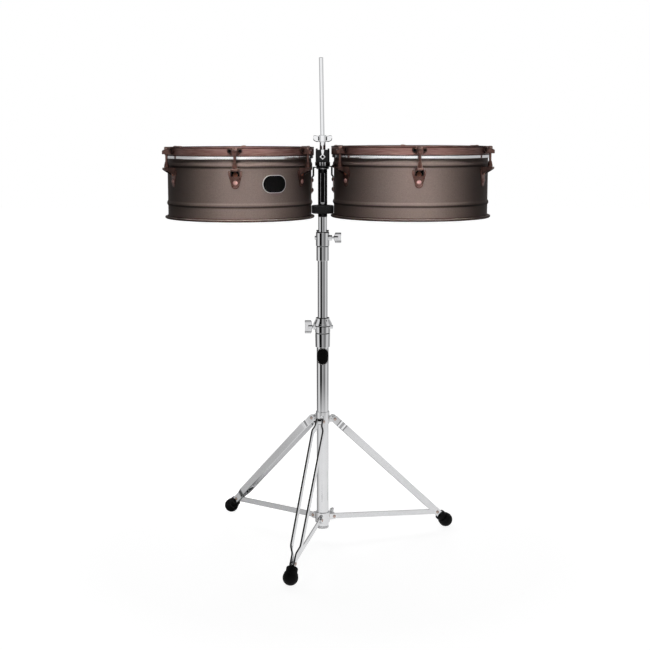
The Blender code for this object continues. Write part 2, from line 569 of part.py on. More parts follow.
def claw_mesh():
    """Claw that hooks over the counterhoop, on the lug's frame."""
    face = CLAW_FACE
    half = CLAW_HALF_WIDTH
    foot = CLAW_FOOT_HALF_WIDTH
    outline = [(-half, CLAW_BOTTOM + CLAW_TAPER), (-foot, CLAW_BOTTOM), (foot, CLAW_BOTTOM),
               (half, CLAW_BOTTOM + CLAW_TAPER), (half, HOOP_TOP - CLAW_CORNER), (half - CLAW_CORNER, HOOP_TOP),
               (CLAW_CORNER - half, HOOP_TOP), (-half, HOOP_TOP - CLAW_CORNER)]
    plate = prism(outline, face, face + CLAW_PLATE_THICKNESS, STANDING)
    hook_outer = HOOP_REACH - HOOP_THICKNESS - CLAW_HOOK_CLEARANCE
    hook_inner = hook_outer - CLAW_HOOK_THICKNESS
    over = HOOP_TOP + GAP
    top = over + CLAW_TOP_THICKNESS
    end = HEAD_TOP + CLAW_HOOK_ABOVE_HEAD
    hook = [(hook_inner, end), (hook_inner, top), (face + 1.2 * CLAW_PLATE_THICKNESS, top),
            (ROD_REACH - ROD_HEAD_RADIUS - 2 * GAP, CLAW_BOSS_TOP - GAP), (ROD_REACH, CLAW_BOSS_TOP - GAP),
            (ROD_REACH, CLAW_BOTTOM + GAP), (face + GAP, CLAW_BOTTOM + GAP), (face + GAP, over),
            (hook_outer, over), (hook_outer, end)]
    tongue = prism(hook, GAP - CLAW_BOSS_RADIUS, CLAW_BOSS_RADIUS - GAP, SIDEWAYS)
    nose = ROD_REACH + CLAW_NOSE
    boss = prism([(-CLAW_BOSS_RADIUS, face + 2 * GAP), (CLAW_BOSS_RADIUS, face + 2 * GAP)]
                 + arc((0.0, nose), CLAW_BOSS_RADIUS, 0.0, math.pi, 6), CLAW_BOTTOM, CLAW_BOSS_TOP)
    edge = ROD_REACH + ROD_HEAD_RADIUS
    run = nose + CLAW_BOSS_RADIUS - edge
    drop = CLAW_BOSS_HEIGHT - CLAW_NOSE_HEIGHT
    fall = prism([(edge - run, CLAW_BOSS_TOP + drop), (edge + 2 * run, CLAW_BOSS_TOP - 2 * drop),
                  (edge + 2 * run, 2 * CLAW_BOSS_TOP), (edge - run, 2 * CLAW_BOSS_TOP)],
                 -2 * CLAW_BOSS_RADIUS, 2 * CLAW_BOSS_RADIUS, SIDEWAYS)
    boss = cut(boss, fall)
    bore = rod(ROD_RADIUS + ROD_HOLE_CLEARANCE, CLAW_BOTTOM - ROD_REACH, CLAW_BOSS_TOP + ROD_REACH, SMALL_STEPS,
               shift(y=ROD_REACH))
    return cut(fused(plate, tongue, boss), bore)


def tension_rod_mesh():
    """Bolt with its ferrule above the lug's shelf and its nut below, about its own axis."""
    head_bottom = CLAW_BOSS_TOP + GAP
    nut_top = SHELF_TOP - LUG_SHELF_THICKNESS - GAP
    ferrule = SHELF_TOP + GAP
    return turned([(0.0, head_bottom + ROD_HEAD_HEIGHT), (0.8 * ROD_HEAD_RADIUS, head_bottom + ROD_HEAD_HEIGHT),
                   (ROD_HEAD_RADIUS, head_bottom + 0.8 * ROD_HEAD_HEIGHT), (ROD_HEAD_RADIUS, head_bottom),
                   (ROD_RADIUS, head_bottom), (ROD_RADIUS, ferrule + ROD_FERRULE_HEIGHT),
                   (ROD_RADIUS + ROD_FERRULE_TOP_WALL, ferrule + ROD_FERRULE_HEIGHT),
                   (ROD_FERRULE_RADIUS, ferrule + 0.25 * ROD_FERRULE_HEIGHT), (ROD_FERRULE_RADIUS, ferrule),
                   (ROD_RADIUS, ferrule), (ROD_RADIUS, nut_top), (ROD_NUT_RADIUS, nut_top),
                   (ROD_NUT_RADIUS, nut_top - ROD_NUT_HEIGHT), (0.0, nut_top - ROD_NUT_HEIGHT)], SMALL_STEPS)


def hanger_mesh():
    """Bent strip from the post to the shell, X pointing from the post axis to the drum."""
    wall = BUMPER_RADIUS + GAP
    back = wall - GAP
    front = back - HANGER_THICKNESS
    strip_back = wall - HANGER_STANDOFF
    strip_front = strip_back - HANGER_THICKNESS
    top = HANGER_FLANGE_HEIGHT + HANGER_THICKNESS
    elbow = HANGER_JOG_HEIGHT + HANGER_JOG_RISE
    end = -HANGER_HALF_WIDTH - HANGER_STANDOFF
    outline = [(back, HANGER_FOOT_HEIGHT), (back, HANGER_JOG_HEIGHT), (strip_back, elbow), (strip_back, top),
               (end, top), (end, HANGER_FLANGE_HEIGHT), (strip_front, HANGER_FLANGE_HEIGHT),
               (strip_front, elbow - HANGER_THICKNESS / 2), (front, HANGER_JOG_HEIGHT - HANGER_THICKNESS / 2),
               (front, HANGER_FOOT_HEIGHT)]
    bent = prism(outline, -2 * HANGER_HALF_WIDTH, 2 * HANGER_HALF_WIDTH, STANDING)
    plan = [(2 * wall, -HANGER_HALF_WIDTH), (2 * wall, HANGER_HALF_WIDTH)]
    plan += arc((0.0, 0.0), HANGER_HALF_WIDTH, math.pi / 2, 1.5 * math.pi, 10)
    bent = common(bent, prism(plan, 0.0, SHELL_HEIGHT))
    eye = rod(POST_SPIGOT_RADIUS + GAP, 0.0, SHELL_HEIGHT, TUBE_STEPS)
    bent = cut(bent, eye)
    nut_face = SHELL_WALL + HANGER_NUT_CLEARANCE + GAP
    for height in HANGER_BOLT_HEIGHTS:
        bolt = turned([(0.0, wall + nut_face + HANGER_BOLT_HEAD_HEIGHT),
                       (HANGER_BOLT_HEAD_RADIUS, wall + nut_face + HANGER_BOLT_HEAD_HEIGHT),
                       (HANGER_BOLT_HEAD_RADIUS, wall + nut_face), (HANGER_BOLT_RADIUS, wall + nut_face),
                       (HANGER_BOLT_RADIUS, front + HANGER_THICKNESS / 2),
                       (HANGER_BOLT_HEAD_RADIUS, front + HANGER_THICKNESS / 2),
                       (HANGER_BOLT_HEAD_RADIUS, front - 0.3 * HANGER_BOLT_HEAD_HEIGHT),
                       (0.5 * HANGER_BOLT_HEAD_RADIUS, front - HANGER_BOLT_HEAD_HEIGHT),
                       (0.0, front - HANGER_BOLT_HEAD_HEIGHT)], SMALL_STEPS, shift(z=height) @ Z_TO_X)
        bent = fused(bent, bolt)
    return bent


def build_drum(side, radius, lug_turn, inward, base, stand, claw, tension_rod, badge):
    """One drum on its hanger. Its frame is on the post axis, so that it swings about the post."""
    swing = empty(side + "_drum", stand, shift(z=base))
    centre = shift(x=-math.cos(inward) * (BUMPER_RADIUS + GAP + radius))
    phase = lug_turn - math.pi / 2
    piece(side + "_shell", shell_mesh(radius, lug_turn, inward, badge), SHELL, swing, centre)
    piece(side + "_head", head_mesh(radius, phase), HEAD, swing, centre)
    outer = radius + HOOP_REACH
    piece(side + "_hoop", ring(outer - HOOP_THICKNESS, outer, HOOP_BOTTOM, HOOP_TOP, DRUM_STEPS, FLAT, phase),
          HOOP, swing, centre)
    for number, angle in enumerate(lug_angles(lug_turn), 1):
        place = centre @ lug_place(radius, angle)
        piece(f"{side}_claw_{number}", claw, LUG, swing, place)
        piece(f"{side}_tension_rod_{number}", tension_rod, LUG, swing, place @ shift(y=ROD_REACH))
    piece(side + "_hanger", hanger_mesh(), BLACK, swing, turn(inward + math.pi))


def tube_mesh(radius, wall, low, high):
    return ring(radius - wall, radius, low, high, TUBE_STEPS)


def wing_outline(span, length):
    """Two round lobes on a waist, u along the screw and v across it."""
    lobe = WING_LOBE_RADIUS
    top = (length - lobe, span / 2 - lobe)
    points = [(0.0, -WING_HUB_RADIUS), (0.0, WING_HUB_RADIUS)]
    points += arc(top, lobe, math.radians(140), math.radians(-40), 4)
    points.append((0.55 * length, 0.0))
    points += arc((top[0], -top[1]), lobe, math.radians(40), math.radians(-140), 4)
    return points


def wing_screw_mesh(tip, start, span, length):
    """Screw along +X with an upright wing, X measured from the column axis."""
    stem = turned([(0.0, start + 0.5 * length), (WING_HUB_RADIUS, start + 0.5 * length),
                   (WING_HUB_RADIUS, start), (SCREW_RADIUS, start - WING_HUB_RADIUS / 2), (SCREW_RADIUS, tip),
                   (0.0, tip)], SMALL_STEPS, Z_TO_X)
    wing = prism([(u + start, v) for u, v in wing_outline(span, length)], -WING_THICKNESS / 2,
                 WING_THICKNESS / 2, STANDING)
    return fused(stem, wing)


def ear_outline(root, below, above):
    """Outline in (radius, height) of an ear round a pivot at (PIVOT_RADIUS, 0)."""
    return [(root, above), (root, -below)] + arc((PIVOT_RADIUS, 0.0), EAR_RADIUS, -math.pi / 2, math.pi / 2, 5)


def hub_mesh():
    """Collar on the lower tube with an ear for each leg, heights from the leg pivots."""
    bore = LOWER_TUBE_RADIUS + GAP
    hub = ring(bore, bore + HUB_WALL, -HUB_BELOW_PIVOT, HUB_ABOVE_PIVOT, TUBE_STEPS)
    root = bore + HUB_WALL / 2
    for azimuth in LEG_AZIMUTHS.values():
        ear = prism(ear_outline(root, EAR_RADIUS, EAR_RADIUS), -HUB_EAR_HALF_THICKNESS, HUB_EAR_HALF_THICKNESS,
                    turn(azimuth) @ STANDING)
        hub = fused(hub, ear)
    return hub


def collar_mesh():
    """Sliding collar with a forked ear for each brace and a boss for its wing screw."""
    bore = LOWER_TUBE_RADIUS + GAP
    outer = bore + COLLAR_WALL
    collar = ring(bore, outer, -COLLAR_BELOW_PIVOT, COLLAR_ABOVE_PIVOT, TUBE_STEPS)
    root = bore + COLLAR_WALL / 2
    slot_start = PIVOT_RADIUS - BRACE_WIDTH / 2 - GAP
    slot_half = BRACE_THICKNESS / 2 + GAP
    slot = [(slot_start, -2 * EAR_RADIUS), (2 * PIVOT_RADIUS, -2 * EAR_RADIUS), (2 * PIVOT_RADIUS, 2 * EAR_RADIUS),
            (slot_start, 2 * EAR_RADIUS)]
    for azimuth in LEG_AZIMUTHS.values():
        ear = prism(ear_outline(root, EAR_RADIUS, EAR_RADIUS), -COLLAR_EAR_HALF_THICKNESS,
                    COLLAR_EAR_HALF_THICKNESS, STANDING)
        ear = cut(ear, prism(slot, -slot_half, slot_half, STANDING))
        pin_hole = rod(LEG_PIN_RADIUS + GAP, -PIVOT_RADIUS, PIVOT_RADIUS, SMALL_STEPS, shift(x=PIVOT_RADIUS) @ Z_TO_Y)
        ear = cut(ear, pin_hole)
        ear.transform(turn(azimuth))
        collar = fused(collar, ear)
    boss = turned([(0.0, root), (COLLAR_BOSS_RADIUS, root),
                   (COLLAR_BOSS_RADIUS, COLLAR_BOSS_REACH - COLLAR_BOSS_CHAMFER),
                   (COLLAR_BOSS_RADIUS - COLLAR_BOSS_CHAMFER, COLLAR_BOSS_REACH), (0.0, COLLAR_BOSS_REACH)], 12,
                  turn(COLLAR_BOSS_AZIMUTH) @ Z_TO_X)
    screw_hole = rod(SCREW_RADIUS + SCREW_CLEARANCE, bore / 2, 2 * COLLAR_BOSS_REACH, SMALL_STEPS,
                     turn(COLLAR_BOSS_AZIMUTH) @ Z_TO_X)
    return cut(fused(collar, boss), screw_hole)


def strip_outline():
    """Bowed strip seen from above the leg: u along the leg from the brace pivot, v across it."""
    half = LEG_STRIP_THICKNESS / 2
    top = HUB_EAR_HALF_THICKNESS + GAP + half
    low = BRACE_THICKNESS / 2 + 2 * GAP + half
    middle = [(-LEG_LENGTH - LEG_STRIP_WIDTH, top), (LEG_FLARE_START - LEG_LENGTH, top),
              (LEG_FLARE_END - LEG_LENGTH, LEG_TOP_SPREAD), (-LEG_TAPER_START, LEG_LOW_SPREAD),
              (-LEG_TAPER_END, low), (LEG_TAIL + LEG_STRIP_WIDTH, low)]
    return [(u, v - half) for u, v in middle] + [(u, v + half) for u, v in reversed(middle)]


def leg_mesh():
    """Two bowed strips pinned at the brace, about the brace pivot: X down the leg, Y across, Z up."""
    side = LEG_STRIP_WIDTH / 2
    top = HUB_EAR_HALF_THICKNESS + GAP + LEG_STRIP_THICKNESS
    low = BRACE_THICKNESS / 2 + 2 * GAP + LEG_STRIP_THICKNESS
    face = [(LEG_TAIL, -side), (LEG_TAIL, side)]
    face += arc((-LEG_LENGTH, 0.0), side, math.pi / 2, 1.5 * math.pi, 6)
    strips = []
    for hand in (1, -1):
        bowed = prism([(u, hand * v) for u, v in strip_outline()], -LEG_STRIP_WIDTH, LEG_STRIP_WIDTH)
        outline = prism(face, -2 * LEG_TOP_SPREAD, 2 * LEG_TOP_SPREAD, STANDING)
        strips.append(common(bowed, outline))
    pin = rod(LEG_PIN_RADIUS, -low, low, SMALL_STEPS, Z_TO_Y)
    spacer_half = BRACE_THICKNESS / 2 + 3 * GAP
    spacer = prism([(LEG_TAIL - LEG_SPACER_LENGTH, GAP - side), (LEG_TAIL - GAP, GAP - side),
                    (LEG_TAIL - GAP, side - GAP), (LEG_TAIL - LEG_SPACER_LENGTH, side - GAP)],
                   -spacer_half, spacer_half, STANDING)
    leg = fused(strips[0], pin, spacer, strips[1])
    for hand in (1, -1):
        upright = Z_TO_Y if hand > 0 else Z_TO_Y @ Matrix.Rotation(math.pi, 4, "X")
        for along, across in ((0.0, low), (-LEG_LENGTH, top)):
            leg = fused(leg, dome(LEG_RIVET_RADIUS, LEG_RIVET_HEIGHT, LEG_STRIP_THICKNESS / 2, SMALL_STEPS,
                                  shift(along, hand * across) @ upright))
    return leg


def brace_mesh(length):
    """Flat strip with its pin, about the collar pivot: X outward, Y across, Z up."""
    half = BRACE_WIDTH / 2
    outline = arc((0.0, 0.0), half, math.pi / 2, 1.5 * math.pi, 6)
    outline += arc((length, 0.0), half, -math.pi / 2, math.pi / 2, 6)
    strip = prism(outline, -BRACE_THICKNESS / 2, BRACE_THICKNESS / 2, STANDING)
    pin = rod(LEG_PIN_RADIUS, -COLLAR_EAR_HALF_THICKNESS, COLLAR_EAR_HALF_THICKNESS, SMALL_STEPS, Z_TO_Y)
    strip = fused(strip, pin)
    return cut(strip, rod(LEG_PIN_RADIUS + GAP, -PIVOT_RADIUS, PIVOT_RADIUS, SMALL_STEPS, shift(x=length) @ Z_TO_Y))


def foot_mesh():
    """Rubber foot on the leg's tail, on the leg's frame, cut flat on the floor."""
    join = math.asin(FOOT_SLEEVE_RADIUS / FOOT_BALL_RADIUS)
    ball = arc((0.0, 0.0), FOOT_BALL_RADIUS, math.pi / 2 - join, -math.pi / 2, 6)
    profile = [(0.0, FOOT_SLEEVE_LENGTH), (0.93 * FOOT_SLEEVE_RADIUS, FOOT_SLEEVE_LENGTH),
               (FOOT_SLEEVE_RADIUS, 0.9 * FOOT_SLEEVE_LENGTH)]
    profile += ball[:-1] + [(0.0, -FOOT_BALL_RADIUS)]
    foot = turned(profile, 16, shift(x=FOOT_REACH) @ Matrix.Rotation(math.radians(-90.0), 4, "Y"))
    side = FOOT_POCKET_HALF_WIDTH
    deep = FOOT_POCKET_HALF_DEPTH
    pocket = prism([(FOOT_MOUTH - FOOT_SLEEVE_LENGTH, -side), (LEG_TAIL + GAP, -side), (LEG_TAIL + GAP, side),
                    (FOOT_MOUTH - FOOT_SLEEVE_LENGTH, side)], -deep, deep, STANDING)
    foot = cut(foot, pocket)
    floor = rod(4 * FOOT_BALL_RADIUS, -4 * FOOT_BALL_RADIUS, -FOOT_BALL_HEIGHT, 12)
    floor.transform(shift(x=FOOT_REACH) @ Matrix.Rotation(LEG_SPREAD - math.pi / 2, 4, "Y"))
    return cut(foot, floor)


def clamp_mesh(profile, boss_radius, height, reach, inner, azimuth):
    """Turned clamp with a threaded boss on one side and a small ear on the other."""
    clamp = turned(profile, TUBE_STEPS)
    upright = shift(z=height) @ turn(azimuth) @ Z_TO_X
    boss = rod(boss_radius, inner + 2 * CLAMP_GROOVE, reach, 12, upright)
    back = shift(z=height) @ turn(azimuth + math.pi) @ Z_TO_X
    wall = max(radius for radius, _ in profile)
    ear = rod(0.7 * boss_radius, inner + 2 * CLAMP_GROOVE, wall + CLAMP_EAR_REACH, SMALL_STEPS, back)
    hole = rod(SCREW_RADIUS + SCREW_CLEARANCE, inner / 2, 2 * reach, SMALL_STEPS, upright)
    return cut(fused(clamp, boss, ear), hole)


def lower_clamp_profile():
    step = LOWER_CLAMP_HEIGHT - LOWER_CLAMP_CONE_HEIGHT
    wide = LOWER_TUBE_RADIUS + GAP
    narrow = MIDDLE_TUBE_RADIUS + GAP
    return [(LOWER_CLAMP_TOP_RADIUS, LOWER_CLAMP_HEIGHT),
            (LOWER_CLAMP_CONE_RADIUS, step + 0.25 * LOWER_CLAMP_CONE_HEIGHT), (LOWER_CLAMP_CONE_RADIUS, step),
            (LOWER_CLAMP_RADIUS, step), (LOWER_CLAMP_RADIUS, -2 * CLAMP_GROOVE),
            (LOWER_CLAMP_RADIUS - CLAMP_GROOVE, -2.4 * CLAMP_GROOVE),
            (LOWER_CLAMP_RADIUS - CLAMP_GROOVE, -3.2 * CLAMP_GROOVE), (LOWER_CLAMP_RADIUS, -3.6 * CLAMP_GROOVE),
            (LOWER_CLAMP_RADIUS - CLAMP_GROOVE / 2, -LOWER_CLAMP_SLEEVE_LENGTH), (wide, -LOWER_CLAMP_SLEEVE_LENGTH),
            (wide, GAP), (narrow, GAP), (narrow, LOWER_CLAMP_HEIGHT)]


def upper_clamp_profile():
    wide = MIDDLE_TUBE_RADIUS + GAP
    narrow = UPPER_TUBE_RADIUS + GAP
    return [(UPPER_CLAMP_RADIUS - CLAMP_GROOVE / 2, UPPER_CLAMP_HEIGHT),
            (UPPER_CLAMP_RADIUS, UPPER_CLAMP_HEIGHT - CLAMP_GROOVE), (UPPER_CLAMP_RADIUS, -2 * CLAMP_GROOVE),
            (UPPER_CLAMP_SLEEVE_RADIUS - CLAMP_GROOVE / 2, -2.4 * CLAMP_GROOVE),
            (UPPER_CLAMP_SLEEVE_RADIUS - CLAMP_GROOVE / 2, -3.2 * CLAMP_GROOVE),
            (UPPER_CLAMP_SLEEVE_RADIUS, -3.6 * CLAMP_GROOVE), (UPPER_CLAMP_SLEEVE_RADIUS, -UPPER_CLAMP_SLEEVE_LENGTH),
            (wide, -UPPER_CLAMP_SLEEVE_LENGTH), (wide, GAP), (narrow, GAP), (narrow, UPPER_CLAMP_HEIGHT)]


def post_mesh(spigot, rod_end):
    """Post with a tail in the upper tube, a spigot for the head, a bore and a front slot."""
    tail = UPPER_TUBE_RADIUS - UPPER_TUBE_WALL - GAP
    floor = rod_end - COWBELL_ROD_TRAVEL_DOWN - GAP
    post = turned([(0.0, floor), (POST_BORE_RADIUS, floor), (POST_BORE_RADIUS, POST_LENGTH + spigot),
                   (POST_SPIGOT_RADIUS, POST_LENGTH + spigot), (POST_SPIGOT_RADIUS, POST_LENGTH),
                   (POST_RADIUS, POST_LENGTH), (POST_RADIUS, 0.0), (tail, 0.0), (tail, -POST_TAIL_LENGTH),
                   (0.0, -POST_TAIL_LENGTH)], TUBE_STEPS)
    half = POST_SLOT_WIDTH / 2
    slot = arc((0.0, POST_LENGTH - POST_SLOT_TOP - half), half, 0.0, math.pi, 6)
    slot += arc((0.0, rod_end + half), half, math.pi, 2 * math.pi, 6)
    return cut(post, prism(slot, -2 * POST_RADIUS, 0.0, STANDING))


def block_mesh():
    """Head block with its neck, heights from its underside."""
    outline = rounded_box(BLOCK_WIDTH / 2, BLOCK_DEPTH / 2, BLOCK_CORNER, 2)
    block = prism(outline, 0.0, BLOCK_HEIGHT)
    neck = turned([(0.0, BLOCK_HEIGHT + NECK_HEIGHT), (NECK_RADIUS, BLOCK_HEIGHT + NECK_HEIGHT),
                   (NECK_RADIUS, BLOCK_HEIGHT + NECK_RADIUS / 2), (1.3 * NECK_RADIUS, BLOCK_HEIGHT - GAP),
                   (0.0, BLOCK_HEIGHT - GAP)], TUBE_STEPS)
    block = fused(block, neck)
    reach = BLOCK_WIDTH / 2 - GAP
    for hand in (1, -1):
        horn = prism([(hand * reach, BLOCK_HEIGHT - BLOCK_HORN_WIDTH),
                      (hand * (reach - BLOCK_HORN_WIDTH), BLOCK_HEIGHT - BLOCK_HORN_WIDTH),
                      (hand * (reach - 0.6 * BLOCK_HORN_WIDTH), BLOCK_HEIGHT + BLOCK_HORN_HEIGHT),
                      (hand * reach, BLOCK_HEIGHT + 0.6 * BLOCK_HORN_HEIGHT)],
                     GAP - BLOCK_DEPTH / 2 + BLOCK_CORNER, BLOCK_DEPTH / 2 - BLOCK_CORNER - GAP, STANDING)
        block = fused(block, horn)
    socket = rod(POST_SPIGOT_RADIUS + GAP, -BLOCK_HEIGHT, POST_SPIGOT_ENTRY + GAP, TUBE_STEPS)
    bore = rod(COWBELL_BORE_RADIUS, -BLOCK_HEIGHT, 2 * (BLOCK_HEIGHT + NECK_HEIGHT), TUBE_STEPS)
    screw = rod(SCREW_RADIUS + SCREW_CLEARANCE, -BLOCK_DEPTH, 0.0, SMALL_STEPS, shift(z=LOCK_SCREW_HEIGHT) @ Z_TO_Y)
    return cut(block, socket, bore, screw)


def lock_screw_mesh():
    """Square-headed socket screw along Y, pressing on the cowbell rod, about its own axis."""
    face = -BLOCK_DEPTH / 2 - GAP
    corner = LOCK_HEAD_HALF_DIAGONAL
    head = prism([(corner, 0.0), (0.0, corner), (-corner, 0.0), (0.0, -corner)], face - LOCK_HEAD_THICKNESS, face,
                 STANDING)
    tip = -COWBELL_BORE_RADIUS
    shank = rod(SCREW_RADIUS, face - LOCK_HEAD_THICKNESS / 4, tip, SMALL_STEPS, Z_TO_Y)
    socket = rod(LOCK_SOCKET_RADIUS, face - 2 * LOCK_HEAD_THICKNESS, face - LOCK_HEAD_THICKNESS + LOCK_SOCKET_DEPTH,
                 SMALL_STEPS, Z_TO_Y)
    return cut(fused(head, shank), socket)


def wing_nut_mesh():
    """Hollow wing nut that closes the neck round the cowbell rod, heights from its underside."""
    hub = rod(WING_NUT_RADIUS, 0.0, WING_NUT_HEIGHT, TUBE_STEPS)
    half = WING_NUT_SPAN / 2
    lobe = 0.24 * WING_NUT_HEIGHT
    for hand in (1, -1):
        tip = (half - lobe, 0.62 * WING_NUT_HEIGHT)
        outline = [(0.8 * WING_NUT_RADIUS, 0.15 * WING_NUT_HEIGHT)]
        outline += arc(tip, lobe, math.radians(-60), math.radians(110), 5)
        outline.append((0.8 * WING_NUT_RADIUS, 0.75 * WING_NUT_HEIGHT))
        wing = prism([(hand * u, v) for u, v in outline], -WING_NUT_THICKNESS / 2, WING_NUT_THICKNESS / 2, STANDING)
        hub = fused(hub, wing)
    seat = NECK_ENTRY + GAP
    counterbore = rod(NECK_RADIUS + GAP, -WING_NUT_HEIGHT, seat, TUBE_STEPS)
    bore = rod(COWBELL_BORE_RADIUS, -WING_NUT_HEIGHT, 2 * WING_NUT_HEIGHT, TUBE_STEPS)
    return cut(hub, counterbore, bore)


def build_tripod(stand, hub_height, collar_height):
    """Collar, braces, legs and feet. Each brace turns on the collar and each leg on its brace."""
    piece("leg_hub", hub_mesh(), CHROME, stand, shift(z=hub_height))
    slide = shift(z=collar_height)
    piece("brace_collar", collar_mesh(), CHROME, stand, slide)
    tip = LOWER_TUBE_RADIUS + 2 * GAP
    piece("collar_wing_screw", wing_screw_mesh(tip, COLLAR_BOSS_REACH + COLLAR_WING_STANDOFF, COLLAR_WING_SPAN,
                                               COLLAR_WING_LENGTH),
          CHROME, stand, slide @ turn(COLLAR_BOSS_AZIMUTH))
    reach = LEG_LENGTH * math.sin(LEG_SPREAD)
    brace = brace_mesh(math.hypot(reach, BRACE_RISE))
    dip = Matrix.Rotation(math.atan2(BRACE_RISE, reach), 4, "Y")
    leg = leg_mesh()
    foot = foot_mesh()
    slope = Matrix.Rotation(math.pi / 2 - LEG_SPREAD, 4, "Y")
    for side, azimuth in LEG_AZIMUTHS.items():
        outward = turn(azimuth)
        piece("brace_" + side, brace, CHROME, stand, slide @ outward @ shift(x=PIVOT_RADIUS) @ dip)
        pivot = shift(z=collar_height - BRACE_RISE) @ outward @ shift(x=PIVOT_RADIUS + reach) @ slope
        piece("leg_" + side, leg, CHROME, stand, pivot)
        piece("foot_" + side, foot, RUBBER, stand, pivot)


def build_column(stand, hub_height, collar_height):
    """Telescoping tubes with their clamps. Returns the height of the top of the upper tube."""
    bottom = collar_height - COLLAR_BELOW_PIVOT - LOWER_TUBE_BELOW_COLLAR
    lower_top = hub_height + LOWER_TUBE_ABOVE_HUB
    piece("lower_tube", tube_mesh(LOWER_TUBE_RADIUS, LOWER_TUBE_WALL, bottom, lower_top), CHROME, stand)
    spigot = LOWER_TUBE_RADIUS - LOWER_TUBE_WALL - GAP
    plug = turned([(0.0, PLUG_SPIGOT), (spigot, PLUG_SPIGOT), (spigot, -GAP), (LOWER_TUBE_RADIUS, -GAP),
                   (LOWER_TUBE_RADIUS, -0.7 * PLUG_FLANGE), (0.85 * LOWER_TUBE_RADIUS, -PLUG_FLANGE),
                   (0.0, -PLUG_FLANGE)], TUBE_STEPS)
    piece("tube_end_plug", plug, GREY_PLASTIC, stand, shift(z=bottom))
    left = math.pi
    piece("lower_clamp", clamp_mesh(lower_clamp_profile(), CLAMP_BOSS_RADIUS, LOWER_SCREW_HEIGHT, LOWER_BOSS_REACH,
                                    MIDDLE_TUBE_RADIUS, left), CHROME, stand, shift(z=lower_top))
    tip = MIDDLE_TUBE_RADIUS + 2 * GAP
    start = LOWER_BOSS_REACH + LOWER_WING_STANDOFF
    piece("lower_wing_screw", wing_screw_mesh(tip, start, LOWER_WING_SPAN, LOWER_WING_LENGTH), CHROME, stand,
          shift(z=lower_top + LOWER_SCREW_HEIGHT) @ turn(left))
    middle_top = lower_top + MIDDLE_EXTENSION
    piece("middle_tube", tube_mesh(MIDDLE_TUBE_RADIUS, MIDDLE_TUBE_WALL, lower_top - MIDDLE_INSERT, middle_top),
          CHROME, stand)
    piece("upper_clamp", clamp_mesh(upper_clamp_profile(), CLAMP_BOSS_RADIUS, UPPER_SCREW_HEIGHT, UPPER_BOSS_REACH,
                                    UPPER_TUBE_RADIUS, 0.0), CHROME, stand, shift(z=middle_top))
    tip = UPPER_TUBE_RADIUS + 2 * GAP
    start = UPPER_BOSS_REACH + UPPER_WING_STANDOFF
    piece("upper_wing_screw", wing_screw_mesh(tip, start, UPPER_WING_SPAN, UPPER_WING_LENGTH), CHROME, stand,
          shift(z=middle_top + UPPER_SCREW_HEIGHT))
    upper_top = middle_top + UPPER_EXTENSION
    piece("upper_tube", tube_mesh(UPPER_TUBE_RADIUS, UPPER_TUBE_WALL, middle_top - UPPER_INSERT, upper_top),
          CHROME, stand)
    return upper_top


def build_head(stand, post_base, washer, ring_nut, block):
    """Post, washer, ring nut, head block, lock screw, wing nut and cowbell rod."""
    spigot = block + POST_SPIGOT_ENTRY - post_base - POST_LENGTH
    lean = block + BLOCK_HEIGHT + LEAN_CENTRE_ABOVE_BLOCK
    rod_end = lean - COWBELL_ROD_BELOW - post_base
    piece("mount_post", post_mesh(spigot, rod_end), BLACK, stand, shift(z=post_base))
    eye = POST_SPIGOT_RADIUS + GAP
    piece("clamp_washer", ring(eye, WASHER_RADIUS, 0.0, WASHER_THICKNESS, TUBE_STEPS), CHROME, stand, shift(z=washer))
    outline = [(RING_NUT_RADIUS, 0.2 * RING_NUT_HEIGHT), (0.94 * RING_NUT_RADIUS, 0.0), (eye, 0.0),
               (eye, RING_NUT_HEIGHT), (0.94 * RING_NUT_RADIUS, RING_NUT_HEIGHT),
               (RING_NUT_RADIUS, 0.8 * RING_NUT_HEIGHT)]
    piece("ring_nut", turned(outline, RING_NUT_SIDES * 2), CHROME, stand, shift(z=ring_nut))
    piece("head_block", block_mesh(), BLACK, stand, shift(z=block))
    piece("rod_lock_screw", lock_screw_mesh(), CHROME, stand, shift(z=block + LOCK_SCREW_HEIGHT))
    piece("top_wing_nut", wing_nut_mesh(), CHROME, stand, shift(z=block + BLOCK_HEIGHT + WING_NUT_LIFT))
    chamfer = COWBELL_ROD_RADIUS / 4
    bell_rod = turned([(0.0, COWBELL_ROD_ABOVE), (COWBELL_ROD_RADIUS - chamfer, COWBELL_ROD_ABOVE),
                       (COWBELL_ROD_RADIUS, COWBELL_ROD_ABOVE - chamfer),
                       (COWBELL_ROD_RADIUS, chamfer - COWBELL_ROD_BELOW),
                       (COWBELL_ROD_RADIUS - chamfer, -COWBELL_ROD_BELOW), (0.0, -COWBELL_ROD_BELOW)], 16)
    piece("cowbell_rod", bell_rod, CHROME, stand, shift(z=lean) @ Matrix.Rotation(COWBELL_ROD_LEAN, 4, "Y"))


def centre_on_footprint(stand):
    """Move the stand so that the origin is under the middle of its bounding box."""
    bpy.context.view_layer.update()
    corners = []
    for obj in bpy.context.scene.objects:
        if obj.type == "MESH":
            corners += [obj.matrix_world @ vertex.co for vertex in obj.data.vertices]
    low = Vector(min(point[axis] for point in corners) for axis in range(3))
    high = Vector(max(point[axis] for point in corners) for axis in range(3))
    stand.location -= Vector(((low.x + high.x) / 2, (low.y + high.y) / 2, low.z))


for old in list(bpy.data.objects):
    bpy.data.objects.remove(old)

